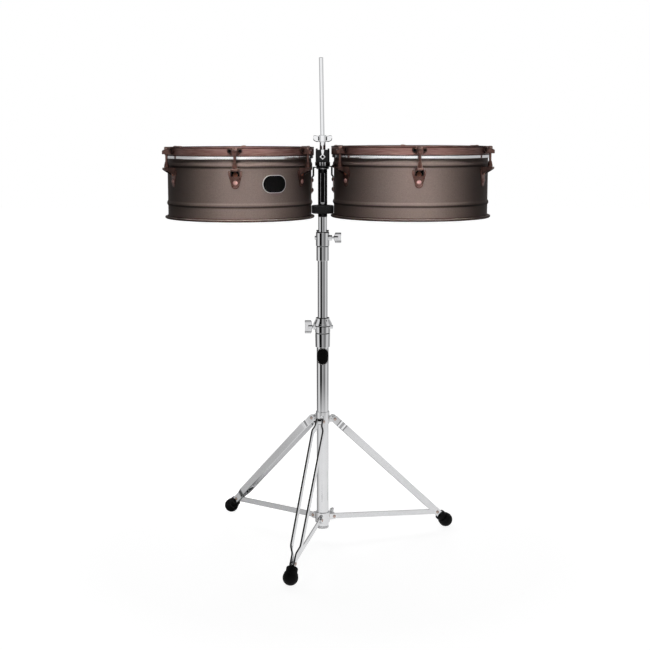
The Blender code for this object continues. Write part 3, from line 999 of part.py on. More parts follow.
SHELL = material("bronze_shell", (0.20, 0.165, 0.145), 0.38, 1.0)
HOOP = material("copper_hoop", (0.26, 0.15, 0.13), 0.35, 1.0)
LUG = material("antique_copper", (0.14, 0.07, 0.05), 0.32, 1.0)
HEAD = material("white_head", (0.90, 0.90, 0.88), 0.45, 0.0)
CHROME = material("chrome", (0.80, 0.80, 0.81), 0.08, 1.0)
BLACK = material("black_paint", (0.012, 0.012, 0.012), 0.35, 0.0)
RUBBER = material("black_rubber", (0.015, 0.015, 0.015), 0.75, 0.0)
GREY_PLASTIC = material("grey_plastic", (0.55, 0.55, 0.56), 0.45, 0.0)

STAND = empty("stand", None)
HUB_HEIGHT = FOOT_BALL_HEIGHT + (LEG_LENGTH + FOOT_REACH) * math.cos(LEG_SPREAD)
COLLAR_HEIGHT = HUB_HEIGHT - LEG_LENGTH * math.cos(LEG_SPREAD) + BRACE_RISE
build_tripod(STAND, HUB_HEIGHT, COLLAR_HEIGHT)
POST_BASE = build_column(STAND, HUB_HEIGHT, COLLAR_HEIGHT) + GAP
WASHER_BASE = POST_BASE + POST_LENGTH + GAP
LEFT_FLANGE = WASHER_BASE + WASHER_THICKNESS + GAP
RIGHT_FLANGE = LEFT_FLANGE + HANGER_THICKNESS + GAP
RING_NUT_BASE = RIGHT_FLANGE + HANGER_THICKNESS + GAP
BLOCK_BASE = RING_NUT_BASE + RING_NUT_HEIGHT + GAP
build_head(STAND, POST_BASE, WASHER_BASE, RING_NUT_BASE, BLOCK_BASE)

CLAW = claw_mesh()
TENSION_ROD = tension_rod_mesh()
LEFT_BASE = LEFT_FLANGE - HANGER_FLANGE_HEIGHT
RIGHT_BASE = RIGHT_FLANGE - HANGER_FLANGE_HEIGHT
build_drum("left", LEFT_SHELL_RADIUS, LEFT_LUG_TURN, 0.0, LEFT_BASE, STAND, CLAW, TENSION_ROD, True)
build_drum("right", RIGHT_SHELL_RADIUS, RIGHT_LUG_TURN, math.pi, RIGHT_BASE, STAND, CLAW, TENSION_ROD, False)
BUMPER_BASE = RIGHT_BASE + RIM_HEIGHT + BUMPER_LIFT
BUMPER_TOP = LEFT_BASE + BEAD_LOW_HEIGHT - BEAD_WIDTH / 2 - BUMPER_BELOW_BEAD
piece("rubber_bumper", ring(POST_RADIUS + GAP, BUMPER_RADIUS, BUMPER_BASE, BUMPER_TOP, TUBE_STEPS), RUBBER, STAND)
centre_on_footprint(STAND)
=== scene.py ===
"""Timbales on a folding tripod: dressed model, studio and camera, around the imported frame."""
import math

import bmesh
import bpy
from mathutils import Matrix, Vector


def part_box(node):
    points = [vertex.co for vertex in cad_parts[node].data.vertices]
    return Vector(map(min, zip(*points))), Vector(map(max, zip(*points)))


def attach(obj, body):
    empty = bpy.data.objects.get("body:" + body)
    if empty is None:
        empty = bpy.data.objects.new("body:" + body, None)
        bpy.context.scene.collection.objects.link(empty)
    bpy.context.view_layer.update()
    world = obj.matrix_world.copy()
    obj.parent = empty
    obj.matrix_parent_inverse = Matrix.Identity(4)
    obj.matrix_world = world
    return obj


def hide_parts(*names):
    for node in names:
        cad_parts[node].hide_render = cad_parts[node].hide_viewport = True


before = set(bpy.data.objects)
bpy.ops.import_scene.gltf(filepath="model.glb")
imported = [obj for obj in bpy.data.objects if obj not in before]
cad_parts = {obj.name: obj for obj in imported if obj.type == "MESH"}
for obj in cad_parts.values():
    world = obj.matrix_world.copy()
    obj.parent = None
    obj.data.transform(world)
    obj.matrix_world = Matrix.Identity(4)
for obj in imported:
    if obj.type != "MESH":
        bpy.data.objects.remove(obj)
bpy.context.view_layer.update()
scene = bpy.context.scene
scene.view_settings.view_transform = "Standard"

# Sizes in metres, heights of a drum measured up from the bottom of its shell
DRUM_RADIUS = {"left": 0.1778, "right": 0.1905}
LUG_TURN = {"left": math.radians(0.45), "right": math.radians(2.06)}
LUG_COUNT = 6
DRUM_STEPS = 192
SHELL_HEIGHT = 0.1637
SHELL_WALL = 0.0015
BEAD_HEIGHTS = (0.1318, 0.0383)
BEAD_WIDTH = 0.0136
BEAD_REACH = 0.0026
SHADE_LIFT, SHADE_DEPTH = 0.0002, 0.0006
HOOP_LOW, HOOP_HIGH = 0.1544, 0.1741
HOOP_INNER, HOOP_OUTER = 0.0035, 0.0065
FLESH_LOW, FLESH_HIGH = 0.1467, 0.1541
FLESH_REACH = 0.005
SHELF_TOP = 0.1261
SHELF_REACH, SHELF_DEPTH = 0.026, 0.0185
SHELF_HALF_WIDTH = 0.011
ROD_REACH = 0.018
CLAW_LOW = 0.1579
CLAW_FACE = 0.0068
CLAW_THICKNESS = 0.0026
CLAW_HALF_WIDTH, CLAW_BOSS_RADIUS = 0.0175, 0.0063
LUG_HALF_WIDTH = 0.0156
LUG_TOP, LUG_SHOULDER = 0.119, 0.112
LUG_TIP_RADIUS = 0.0085
RIVET_HEIGHTS = (0.1113, 0.0926)
BADGE_TURN = math.radians(31.5)
BADGE_HEIGHT = 0.089
HANGER_HALF_WIDTH = 0.016
HANGER_FACE = 0.02564
HANGER_BOLTS = (0.068, 0.0925)

COLLAR_PIVOT = 0.057344
OUTER_PIVOT = 0.041844
HUB_PIVOT = 0.316865
PIVOT_RADIUS = 0.03
LEG_AZIMUTH = {"right": math.radians(17.5), "left": math.radians(137.5), "front": math.radians(257.5)}
LEG_SPREAD = math.radians(46.4)
LEG_LENGTH = 0.3988
LEG_RUN = 0.2888
LEG_TAIL = 0.032
STRIP_THICKNESS = 0.0042
STRIP_HALF_WIDTH = 0.009
BRACE_LENGTH = 0.2892
BRACE_RISE = 0.0155
BRACE_HALF_WIDTH = 0.007
BRACE_PIN_REACH = 0.0055
PIN_RADIUS, PIN_HEAD_RADIUS = 0.0025, 0.0044
TUBE_RADIUS, SLEEVE_BORE = 0.01525, 0.01555
OVAL_HEIGHT = 0.482
LOWER_CLAMP, LOWER_BOSS = 0.544865, 0.0112
UPPER_CLAMP, UPPER_BOSS = 0.764865, 0.0167
BOSS_REACH = 0.0235
BOSS_AZIMUTH = math.radians(60.0)
ROD_RADIUS = 0.00525
ROD_LEAN = math.radians(-1.0)
ROD_CENTRE = 1.010365
ROD_ABOVE, ROD_BELOW = 0.2135, 0.145

RIGHT_ANGLE = math.pi / 2
STANDING = Matrix.Rotation(RIGHT_ANGLE, 4, "X")       # u=X, v=Z, w=-Y, so Z turns to -Y
Z_TO_X = Matrix.Rotation(RIGHT_ANGLE, 4, "Y")
Z_TO_MINUS_X = Matrix.Rotation(-RIGHT_ANGLE, 4, "Y")
ACROSS = Matrix(((0, 0, 1, 0), (1, 0, 0, 0), (0, 1, 0, 0), (0, 0, 0, 1)))    # u=Y, v=Z, w=X


def shift(x=0.0, y=0.0, z=0.0):
    return Matrix.Translation((x, y, z))


def turn(angle):
    return Matrix.Rotation(angle, 4, "Z")


def sideways(hand):
    """Turn Z to +Y or -Y."""
    return Matrix.Rotation(-hand * RIGHT_ANGLE, 4, "X")


def middle(node):
    low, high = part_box(node)
    return (low[0] + high[0]) / 2, (low[1] + high[1]) / 2


AXIS_X, AXIS_Y = middle("lower_tube")
COLUMN = shift(AXIS_X, AXIS_Y)
DRUM_PLACE = {}
for side in DRUM_RADIUS:
    drum_x, drum_y = middle(side + "_hoop")
    DRUM_PLACE[side] = shift(drum_x, drum_y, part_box(side + "_shell")[0][2])


# Mesh tools

ON_AXIS = 1e-7
STRAIGHT = math.radians(176.0)
CORNER_SHARE = 0.45
SHARP, SLOT_SHARP = 0.9, 0.7
SMOOTH_LIMIT = math.radians(46.0)


def arc(centre, radius, start, end, steps):
    points = []
    for step in range(steps + 1):
        angle = start + (end - start) * step / steps
        points.append((centre[0] + radius * math.cos(angle), centre[1] + radius * math.sin(angle)))
    return points


def rounded_box(half_width, half_height, corner, steps=6):
    points = []
    for index, (sx, sy) in enumerate(((1, 1), (-1, 1), (-1, -1), (1, -1))):
        centre = (sx * (half_width - corner), sy * (half_height - corner))
        points += arc(centre, corner, index * RIGHT_ANGLE, (index + 1) * RIGHT_ANGLE, steps)
    return points


def ellipse(half_width, half_height, steps=64):
    return [(half_width * math.cos(2 * math.pi * k / steps), half_height * math.sin(2 * math.pi * k / steps))
            for k in range(steps)]


def raised(outline, height, along=0.0):
    return [(u + along, v + height) for u, v in outline]


def bend(start, corner, end, steps):
    """Points of a curve that leaves and arrives along the sides of a corner."""
    points = []
    for step in range(steps + 1):
        t = step / steps
        points.append(tuple((1 - t) ** 2 * start + 2 * t * (1 - t) * corner + t * t * end))
    return points


def fillet(points, radius, steps=4):
    """Round the corners of a closed outline; radius is one number or one for each corner."""
    rounded = []
    count = len(points)
    for index in range(count):
        corner = Vector(points[index])
        to_last = Vector(points[index - 1]) - corner
        to_next = Vector(points[(index + 1) % count]) - corner
        wanted = radius[index] if isinstance(radius, (list, tuple)) else radius
        angle = to_last.angle(to_next)
        if wanted <= 0.0 or angle > STRAIGHT:
            rounded.append(tuple(corner))
            continue
        reach = min(wanted / math.tan(angle / 2), CORNER_SHARE * to_last.length, CORNER_SHARE * to_next.length)
        start = corner + to_last.normalized() * reach
        end = corner + to_next.normalized() * reach
        rounded += bend(start, corner, end, steps)
    return rounded


def lathe(profile, steps=48, closed=True):
    """Turn a (radius, height) profile about Z."""
    mesh = bmesh.new()
    rings = []
    for radius, height in profile:
        circle = [(0.0, 0.0)] if radius < ON_AXIS else ellipse(radius, radius, steps)
        rings.append([mesh.verts.new((x, y, height)) for x, y in circle])
    pairs = list(zip(rings, rings[1:]))
    if closed:
        pairs.append((rings[-1], rings[0]))
    for first, second in pairs:
        for step in range(steps):
            after = (step + 1) % steps
            loop = [first[step % len(first)], first[after % len(first)],
                    second[after % len(second)], second[step % len(second)]]
            corners = list(dict.fromkeys(loop))
            if len(corners) > 2:
                mesh.faces.new(corners)
    bmesh.ops.recalc_face_normals(mesh, faces=mesh.faces)
    return mesh


def tube(inner, outer, low, high, edge, steps=96):
    """Ring with rounded edges."""
    return lathe(fillet([(inner, low), (outer, low), (outer, high), (inner, high)], edge, 3), steps)


def knob(points, edge, steps=32):
    """Solid turned about Z from a profile that starts and ends on the axis, with its corners rounded."""
    radii = [0.0] + [edge] * (len(points) - 2) + [0.0]
    return lathe(fillet(points, radii, 3), steps, closed=False)


def peg(radius, start, end, edge, steps):
    return knob([(0.0, start), (radius, start), (radius, end), (0.0, end)], edge, steps)


def dome(radius, height, sink=0.0006, steps=24):
    points = [(0.0, height)]
    for step in range(1, 7):
        angle = RIGHT_ANGLE * step / 6
        points.append((radius * math.sin(angle), height * math.cos(angle)))
    points += [(radius, -sink), (0.0, -sink)]
    return lathe(points, steps, closed=False)


def bridge(mesh, first, second):
    """Faces between two closed loops with as many points each."""
    count = len(first)
    for index in range(count):
        after = (index + 1) % count
        mesh.faces.new((first[index], first[after], second[after], second[index]))


def soften(mesh, edges, offset, segments=2):
    bmesh.ops.bevel(mesh, geom=edges, offset=offset, segments=segments, profile=0.5, affect="EDGES",
                    clamp_overlap=True)


def slab(outline, low, high, edge=0.0005, segments=2):
    """Outline in XY extruded along Z, with its long edges rounded."""
    mesh = bmesh.new()
    bottom = [mesh.verts.new((x, y, low)) for x, y in outline]
    top = [mesh.verts.new((x, y, high)) for x, y in outline]
    caps = [mesh.faces.new(list(reversed(bottom))), mesh.faces.new(top)]
    bridge(mesh, bottom, top)
    bmesh.ops.recalc_face_normals(mesh, faces=mesh.faces)
    if edge > 0.0:
        soften(mesh, [line for cap in caps for line in cap.edges], edge, segments)
    return mesh


def ring_slab(outer, inner, low, high, edge=0.0004):
    """Plate between two closed outlines with as many points each."""
    mesh = bmesh.new()
    loops = []
    for outline, height in ((outer, low), (outer, high), (inner, high), (inner, low)):
        loops.append([mesh.verts.new((x, y, height)) for x, y in outline])
    for first, second in zip(loops, loops[1:] + loops[:1]):
        bridge(mesh, first, second)
    bmesh.ops.recalc_face_normals(mesh, faces=mesh.faces)
    rim = []
    for loop in loops:
        ends = set(loop)
        rim += [line for line in mesh.edges if line.verts[0] in ends and line.verts[1] in ends]
    soften(mesh, rim, edge)
    return mesh


def wrap(mesh, radius, pitch=0.0035, reach=0.04):
    """Bend a slab drawn in (along the wall, height, outward) round a drum or tube that faces -Y."""
    steps = int(reach / pitch)
    for step in range(-steps, steps + 1):
        everything = mesh.verts[:] + mesh.edges[:] + mesh.faces[:]
        bmesh.ops.bisect_plane(mesh, geom=everything, plane_co=(step * pitch, 0, 0), plane_no=(1, 0, 0), dist=1e-6)
    for vert in mesh.verts:
        along, height, out = vert.co
        angle = along / radius
        vert.co = ((radius + out) * math.sin(angle), -(radius + out) * math.cos(angle), height)
    return mesh


def ribbon(stations, thickness, edge=0.0007):
    """Bent strip through stations (x, y, half width), thick in the plane XY and wide along Z."""
    mesh = bmesh.new()
    rows = []
    for index, (x, y, half) in enumerate(stations):
        before = stations[max(index - 1, 0)]
        after = stations[min(index + 1, len(stations) - 1)]
        along = Vector((after[0] - before[0], after[1] - before[1])).normalized()
        nx, ny = -along.y * thickness / 2, along.x * thickness / 2
        rows.append([mesh.verts.new((x + nx, y + ny, half)), mesh.verts.new((x + nx, y + ny, -half)),
                     mesh.verts.new((x - nx, y - ny, -half)), mesh.verts.new((x - nx, y - ny, half))])
    for first, second in zip(rows, rows[1:]):
        bridge(mesh, first, second)
    mesh.faces.new(list(reversed(rows[0])))
    mesh.faces.new(rows[-1])
    bmesh.ops.recalc_face_normals(mesh, faces=mesh.faces)
    sharp = [line for line in mesh.edges if len(line.link_faces) == 2 and line.calc_face_angle() > SHARP]
    soften(mesh, sharp, edge)
    return mesh


def smooth_path(points, reach, steps=6):
    """Round the inner corners of an open path."""
    path = [points[0]]
    for before, corner, after in zip(points, points[1:], points[2:]):
        corner = Vector(corner)
        to_last = Vector(before) - corner
        to_next = Vector(after) - corner
        start = corner + to_last.normalized() * min(reach, CORNER_SHARE * to_last.length)
        end = corner + to_next.normalized() * min(reach, CORNER_SHARE * to_next.length)
        path += bend(start, corner, end, steps)
    return path + [points[-1]]


def to_data(mesh, name):
    data = bpy.data.meshes.new(name)
    mesh.to_mesh(data)
    mesh.free()
    return data


def carve(mesh, cutter):
    """Cut one closed mesh out of another."""
    objects = []
    for part in (mesh, cutter):
        objects.append(bpy.data.objects.new("carve", to_data(part, "carve")))
        scene.collection.objects.link(objects[-1])
    modifier = objects[0].modifiers.new("cut", "BOOLEAN")
    modifier.object = objects[1]
    modifier.operation = "DIFFERENCE"
    modifier.solver = "EXACT"
    bpy.context.view_layer.update()
    evaluated = objects[0].evaluated_get(bpy.context.evaluated_depsgraph_get())
    result = bmesh.new()
    result.from_mesh(evaluated.to_mesh())
    evaluated.to_mesh_clear()
    for item in objects:
        data = item.data
        bpy.data.objects.remove(item)
        bpy.data.meshes.remove(data)
    return result


def corner_normals(mesh):
    """Normals in which large faces count most, so that flat surfaces look flat up to their rounded edges."""
    mesh.normal_update()
    mesh.faces.index_update()
    areas = [face.calc_area() for face in mesh.faces]
    limit = math.cos(SMOOTH_LIMIT)
    normals = []
    for face in mesh.faces:
        for loop in face.loops:
            total = Vector((0.0, 0.0, 0.0))
            for other in loop.vert.link_faces:
                if face.normal.dot(other.normal) > limit:
                    total += other.normal * areas[other.index]
            normals.append(total.normalized() if total.length > 0.0 else face.normal.copy())
    return normals


def piece(name, body, parts, nodes):
    """Join parts (mesh, place, material) into one object that rides on a body and stands for CAD nodes."""
    joined = bmesh.new()
    materials = []
    for mesh, place, material in parts:
        if material not in materials:
            materials.append(material)
        mesh.transform(place)
        for face in mesh.faces:
            face.material_index = materials.index(material)
            face.smooth = True
        data = to_data(mesh, "part")
        joined.from_mesh(data)
        bpy.data.meshes.remove(data)
    normals = corner_normals(joined)
    data = to_data(joined, name)
    data.normals_split_custom_set(normals)
    for material in materials:
        data.materials.append(material)
    thing = bpy.data.objects.new(name, data)
    scene.collection.objects.link(thing)
    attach(thing, body)
    if nodes:
        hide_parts(*nodes)
    return thing


def dressed(node, body, parts):
    """Piece that stands for one CAD node."""
    piece(node + "_dressed", body, parts, [node])


# Materials

WORN_RANGE, NOISE_RANGE = (0.52, 0.62), (0.3, 0.7)
GRAIN_DEPTH = 0.0004


def fill(tree, node, sockets):
    """Set each socket of a node to a value, or link it to another node's output."""
    for name, value in sockets.items():
        if isinstance(value, bpy.types.NodeSocket):
            tree.links.new(value, node.inputs[name])
        else:
            node.inputs[name].default_value = value
    return node


def add(tree, kind, sockets):
    return fill(tree, tree.nodes.new(kind), sockets)


def mixed(tree, factor, first, second):
    return add(tree, "ShaderNodeMixRGB", {"Fac": factor, "Color1": first, "Color2": second}).outputs["Color"]


def ranged(tree, value, low, high, start=0.0, end=1.0, kind="LINEAR"):
    node = add(tree, "ShaderNodeMapRange",
               {"Value": value, "From Min": low, "From Max": high, "To Min": start, "To Max": end})
    node.interpolation_type = kind
    return node.outputs["Result"]


def surface(name, dark, light, scale, metallic, rough, bump=0.0, bump_scale=900.0, stretch=(1.0, 1.0, 1.0),
            edge=None, spread=0.22, shine=0.5):
    """Principled material whose colour and roughness vary with noise in the piece's own space."""
    material = bpy.data.materials.new(name)
    material.use_nodes = True
    tree = material.node_tree
    coords = tree.nodes.new("ShaderNodeTexCoord")
    mapping = add(tree, "ShaderNodeMapping", {"Vector": coords.outputs["Object"], "Scale": stretch})
    noise = add(tree, "ShaderNodeTexNoise", {"Vector": mapping.outputs["Vector"], "Scale": scale, "Detail": 5.0})
    ramp = add(tree, "ShaderNodeValToRGB", {"Fac": noise.outputs["Fac"]})
    for stop, place, tone in zip(ramp.color_ramp.elements, (0.5 - spread, 0.5 + spread), (dark, light)):
        stop.position = place
        stop.color = (*tone, 1.0)
    colour = ramp.outputs["Color"]
    if edge:
        geometry = tree.nodes.new("ShaderNodeNewGeometry")
        worn = ranged(tree, geometry.outputs["Pointiness"], *WORN_RANGE)
        colour = mixed(tree, worn, colour, (*edge, 1.0))
    finish = ranged(tree, noise.outputs["Fac"], *NOISE_RANGE, *rough)
    shader = fill(tree, tree.nodes["Principled BSDF"],
                  {"Base Color": colour, "Roughness": finish, "Metallic": metallic,
                   "Specular IOR Level": shine})
    if bump:
        grain = add(tree, "ShaderNodeTexNoise",
                    {"Vector": mapping.outputs["Vector"], "Scale": bump_scale, "Detail": 3.0})
        lift = add(tree, "ShaderNodeBump", {"Strength": bump, "Distance": GRAIN_DEPTH, "Height": grain.outputs["Fac"]})
        fill(tree, shader, {"Normal": lift.outputs["Normal"]})
    return material


BRONZE = surface("shell_bronze", (0.208, 0.157, 0.136), (0.272, 0.208, 0.182), 520.0, 0.0, (0.46, 0.56),
                 bump=0.1, bump_scale=1400.0, shine=0.06)
HOOP_COPPER = surface("hoop_copper", (0.14, 0.048, 0.036), (0.56, 0.33, 0.285), 1500.0, 0.2, (0.3, 0.42),
                      bump=0.12, stretch=(0.02, 0.02, 1.0), shine=0.25)
# Darker bronze: painted shade on the lower flanks of the beads
PAINTED_SHADE_BRONZE = surface("painted_shade_bronze", (0.098, 0.074, 0.064), (0.128, 0.098, 0.086), 520.0, 0.0, (0.5, 0.6),
                        shine=0.06)
# Dark brown for rings: painted shade in the crease above each rim and under the rim's roll, and dark lines along the
# hoops' edges
DARK_BROWN_RING = surface("dark_brown_ring", (0.03, 0.01, 0.008), (0.08, 0.032, 0.024), 420.0, 0.2, (0.4, 0.55),
                      shine=0.15)
ANTIQUE = surface("antique_copper", (0.12, 0.058, 0.046), (0.24, 0.123, 0.099), 160.0, 0.76, (0.26, 0.4),
                  bump=0.08, edge=(0.5, 0.3, 0.26), shine=0.3)
DARK_COPPER = surface("dark_copper", (0.04, 0.018, 0.014), (0.1, 0.047, 0.037), 200.0, 0.35, (0.3, 0.44),
                      bump=0.08, edge=(0.3, 0.17, 0.14), shine=0.25)
BOLT_COPPER = surface("bolt_copper", (0.34, 0.175, 0.141), (0.54, 0.308, 0.256), 240.0, 0.35, (0.24, 0.36),
                      edge=(0.58, 0.37, 0.31))
RIVET_COPPER = surface("rivet_copper", (0.76, 0.27, 0.14), (0.86, 0.36, 0.21), 300.0, 0.15, (0.2, 0.3))
# Pale pink copper for the lower rivets: painted highlight
RIVET_PAINTED_HIGHLIGHT = surface("rivet_painted_highlight", (0.82, 0.43, 0.37), (0.9, 0.53, 0.47), 300.0, 0.1, (0.14, 0.24))
LEG_RIVET = surface("leg_rivet", (0.56, 0.42, 0.36), (0.74, 0.62, 0.56), 240.0, 0.95, (0.14, 0.24))
HEAD_WHITE = surface("head_white", (0.64, 0.636, 0.622), (0.74, 0.735, 0.722), 90.0, 0.0, (0.45, 0.6),
                     bump=0.15, bump_scale=2200.0)
FLESH_ALLOY = surface("flesh_hoop_alloy", (0.95, 0.952, 0.955), (0.985, 0.985, 0.985), 700.0, 0.8, (0.05, 0.09),
                      stretch=(0.03, 0.03, 1.0))
CHROME = surface("chrome", (0.88, 0.885, 0.89), (0.93, 0.932, 0.935), 35.0, 1.0, (0.03, 0.06))
STEEL = surface("plated_strip", (0.82, 0.822, 0.828), (0.9, 0.902, 0.906), 260.0, 1.0, (0.07, 0.12))
DARK_STEEL = surface("dark_steel", (0.3, 0.3, 0.305), (0.46, 0.46, 0.465), 180.0, 1.0, (0.12, 0.2))
DULL_STEEL = surface("dull_steel", (0.64, 0.64, 0.645), (0.74, 0.74, 0.745), 220.0, 1.0, (0.1, 0.18))
SATIN = surface("satin_steel", (0.8, 0.8, 0.805), (0.9, 0.9, 0.9), 320.0, 0.55, (0.34, 0.46))
BLACK = surface("black_enamel", (0.005, 0.005, 0.005), (0.01, 0.01, 0.01), 120.0, 0.0, (0.22, 0.34),
                bump=0.05, bump_scale=500.0, shine=0.28)
WORN_BLACK = surface("worn_enamel", (0.005, 0.005, 0.005), (0.012, 0.012, 0.012), 120.0, 0.0, (0.24, 0.36),
                     bump=0.05, bump_scale=500.0, edge=(0.34, 0.34, 0.35), shine=0.28)
RUBBER = surface("black_rubber", (0.01, 0.01, 0.01), (0.02, 0.02, 0.02), 420.0, 0.0, (0.5, 0.65),
                 bump=0.25, bump_scale=1300.0, shine=0.12)
FOAM = surface("grey_foam", (0.11, 0.11, 0.11), (0.27, 0.27, 0.274), 900.0, 0.0, (0.8, 0.95),
               bump=0.6, bump_scale=1100.0, spread=0.12, shine=0.1)
PLUG = surface("grey_plastic", (0.8, 0.8, 0.805), (0.88, 0.88, 0.885), 200.0, 0.7, (0.2, 0.3), bump=0.05)
DARK_PLATE = surface("dark_plate", (0.004, 0.004, 0.004), (0.008, 0.007, 0.007), 260.0, 0.0, (0.4, 0.55),
                     shine=0.08)
PALE_PLATE = surface("pale_border", (0.62, 0.6, 0.58), (0.78, 0.76, 0.74), 260.0, 0.1, (0.28, 0.4))


# Drums

def bead(radius, height, steps=12):
    points = []
    for step in range(steps + 1):
        t = step / steps - 0.5
        points.append((radius + BEAD_REACH * math.cos(math.pi * t) ** 1.4, height - t * BEAD_WIDTH))
    return points


RIM = [(0.0, 0.0082), (0.0003, 0.0073), (0.0014, 0.0065), (0.0044, 0.0061), (0.0066, 0.0056), (0.0077, 0.0045),
       (0.0078, 0.0031), (0.0071, 0.0015), (0.0056, 0.0003), (0.003, 0.0), (0.0002, 0.0002), (-0.0015, 0.0012)]


def shell_profile(radius):
    wall = radius - SHELL_WALL
    points = [(wall, SHELL_HEIGHT - 0.0008), (wall + 0.0004, SHELL_HEIGHT - 0.0002),
              (radius - 0.0004, SHELL_HEIGHT - 0.0001), (radius, SHELL_HEIGHT - 0.0006)]
    for height in BEAD_HEIGHTS:
        points += bead(radius, height)
    return points + [(radius + out, height) for out, height in RIM]


def shade(points):
    """Thin dark ring of painted shade over a stretch of a shell's profile, given from its top down and closed behind.
    """
    return lathe([(out + SHADE_LIFT, height) for out, height in points]
                 + [(out - SHADE_DEPTH, height) for out, height in reversed(points)], DRUM_STEPS)


def facing(radius, height):
    """Place for a mesh turned about Z that stands out from the wall of a drum at its front."""
    return shift(y=-radius, z=height) @ STANDING


def lug_box():
    """Boxed shelf of a lug: closed sides, a lip at the nose and a hollow under the top. Outward is -Y."""
    side, low = SHELF_HALF_WIDTH, SHELF_TOP - SHELF_DEPTH
    plan = fillet([(-side, 0.0011), (side, 0.0011), (side, -ROD_REACH), (0.0078, -SHELF_REACH),
                   (-0.0078, -SHELF_REACH), (-side, -ROD_REACH)], [0.0, 0.0, 0.004, 0.002, 0.002, 0.004], 4)
    box = slab(plan, low, SHELF_TOP, 0.0008)
    under = slab([(-0.002, low), (-0.05, SHELF_TOP + 0.0089), (-0.05, SHELF_TOP - 0.05),
                  (-0.002, SHELF_TOP - 0.05)], -0.03, 0.03, 0.0)
    under.transform(ACROSS)
    hollow = slab([(-0.0092, -0.001), (0.0092, -0.001), (0.0092, -ROD_REACH), (0.0062, -0.0238), (-0.0062, -0.0238),
                   (-0.0092, -ROD_REACH)], SHELF_TOP - 0.04, SHELF_TOP - 0.0025, 0.0)
    return carve(carve(box, under), hollow)


LUG_BOX = lug_box()


def lug_outline(grow, tip):
    """Shield-shaped plate of a lug, grown all round, with the middle of its rounded tip at a height."""
    side = LUG_HALF_WIDTH + grow
    outline = [(-side, LUG_TOP + grow), (side, LUG_TOP + grow), (side, LUG_SHOULDER)]
    outline += arc((0.0, tip), LUG_TIP_RADIUS + grow, 0.15, -math.pi - 0.15, 12) + [(-side, LUG_SHOULDER)]
    return fillet(outline, [0.002, 0.002, 0.006] + [0.0] * 13 + [0.006], 5)


def lug_parts(radius, place):
    lip = slab(rounded_box(0.0066, 0.0016, 0.0008), -0.0004, 0.0007, 0.0004)
    lip_place = place @ shift(y=-radius - SHELF_REACH, z=SHELF_TOP - 0.0021) @ STANDING
    # Painted shade: a dark plate on the wall in the hollow under the shelf
    pocket_shade = raised(rounded_box(0.0092, 0.008, 0.001), SHELF_TOP - 0.0102)
    # Painted shade: the dark copper plate grown round the lug plate gives it a dark outline
    parts = [(wrap(slab(lug_outline(-0.0006, 0.08835), -0.0009, 0.002, 0.0007), radius), place, ANTIQUE),
             (wrap(slab(lug_outline(0.0012, 0.0878), -0.0009, 0.001, 0.0004), radius), place, DARK_COPPER),
             (LUG_BOX.copy(), place @ shift(y=-radius), DARK_COPPER), (lip, lip_place, BOLT_COPPER),
             (wrap(slab(pocket_shade, 0.0016, 0.0023, 0.0002), radius), place, DARK_PLATE)]
    # The lower rivet's pale colour is a painted highlight
    for height, material in zip(RIVET_HEIGHTS, (RIVET_COPPER, RIVET_PAINTED_HIGHLIGHT)):
        parts.append((dome(0.0056, 0.0036), place @ facing(radius + 0.002, height), material))
    return parts


def claw_parts(radius, place):
    face = CLAW_FACE + CLAW_THICKNESS
    side = CLAW_HALF_WIDTH
    plate = fillet([(-side, CLAW_LOW + 0.006), (-0.0085, CLAW_LOW), (0.0085, CLAW_LOW), (side, CLAW_LOW + 0.006),
                    (side, HOOP_HIGH - 0.0035), (0.014, HOOP_HIGH), (-0.014, HOOP_HIGH),
                    (-side, HOOP_HIGH - 0.0035)], 0.0022, 4)
    parts = [(wrap(slab(plate, CLAW_FACE, face, 0.0008), radius), place, DARK_COPPER)]
    cup = [(0.0, 0.0004), (0.0034, 0.0004), (0.004, 0.0021), (0.0047, 0.0021), (0.0056, 0.0008), (0.0058, -0.0012),
           (0.0, -0.0012)]
    for hand in (-1, 1):
        seat = place @ turn(hand * 0.0114 / radius) @ facing(radius + face, CLAW_LOW + 0.0088)
        # Painted shade: a near-black disc at the bottom of each cup's hollow
        parts += [(knob(cup, 0.0004, 28), seat, DARK_COPPER),
                  (peg(0.0037, 0.0007, -0.0002, 0.0001, 28), seat, DARK_PLATE)]
    nose = -ROD_REACH - 0.0047
    plan = [(CLAW_BOSS_RADIUS, -CLAW_FACE - 0.0006), (-CLAW_BOSS_RADIUS, -CLAW_FACE - 0.0006)]
    plan += arc((0.0, nose), CLAW_BOSS_RADIUS, math.pi, 2 * math.pi, 16)
    boss = slab(plan, CLAW_LOW, CLAW_LOW + 0.0108, 0.0012, 3)
    for vert in boss.verts:
        if vert.co.z > CLAW_LOW + 0.006:
            vert.co.z -= 0.5 * max(-vert.co.y - ROD_REACH - 0.0055, 0.0)
    tongue = fillet([(-0.0012, 0.1685), (-0.0012, 0.1753), (-0.0099, 0.1753), (-0.0121, 0.1684), (-0.0175, 0.1684),
                     (-0.0175, CLAW_LOW + 0.001), (-0.0073, CLAW_LOW + 0.001), (-0.0073, 0.1737), (-0.0026, 0.1737),
                     (-0.0026, 0.1685)], [0.0005, 0.0012, 0.0016, 0.001, 0.0, 0.0, 0.0, 0.0, 0.0, 0.0005], 4)
    wall = place @ shift(y=-radius)
    return parts + [(boss, wall, ANTIQUE), (slab(tongue, -0.006, 0.006, 0.0007), wall @ ACROSS, ANTIQUE)]


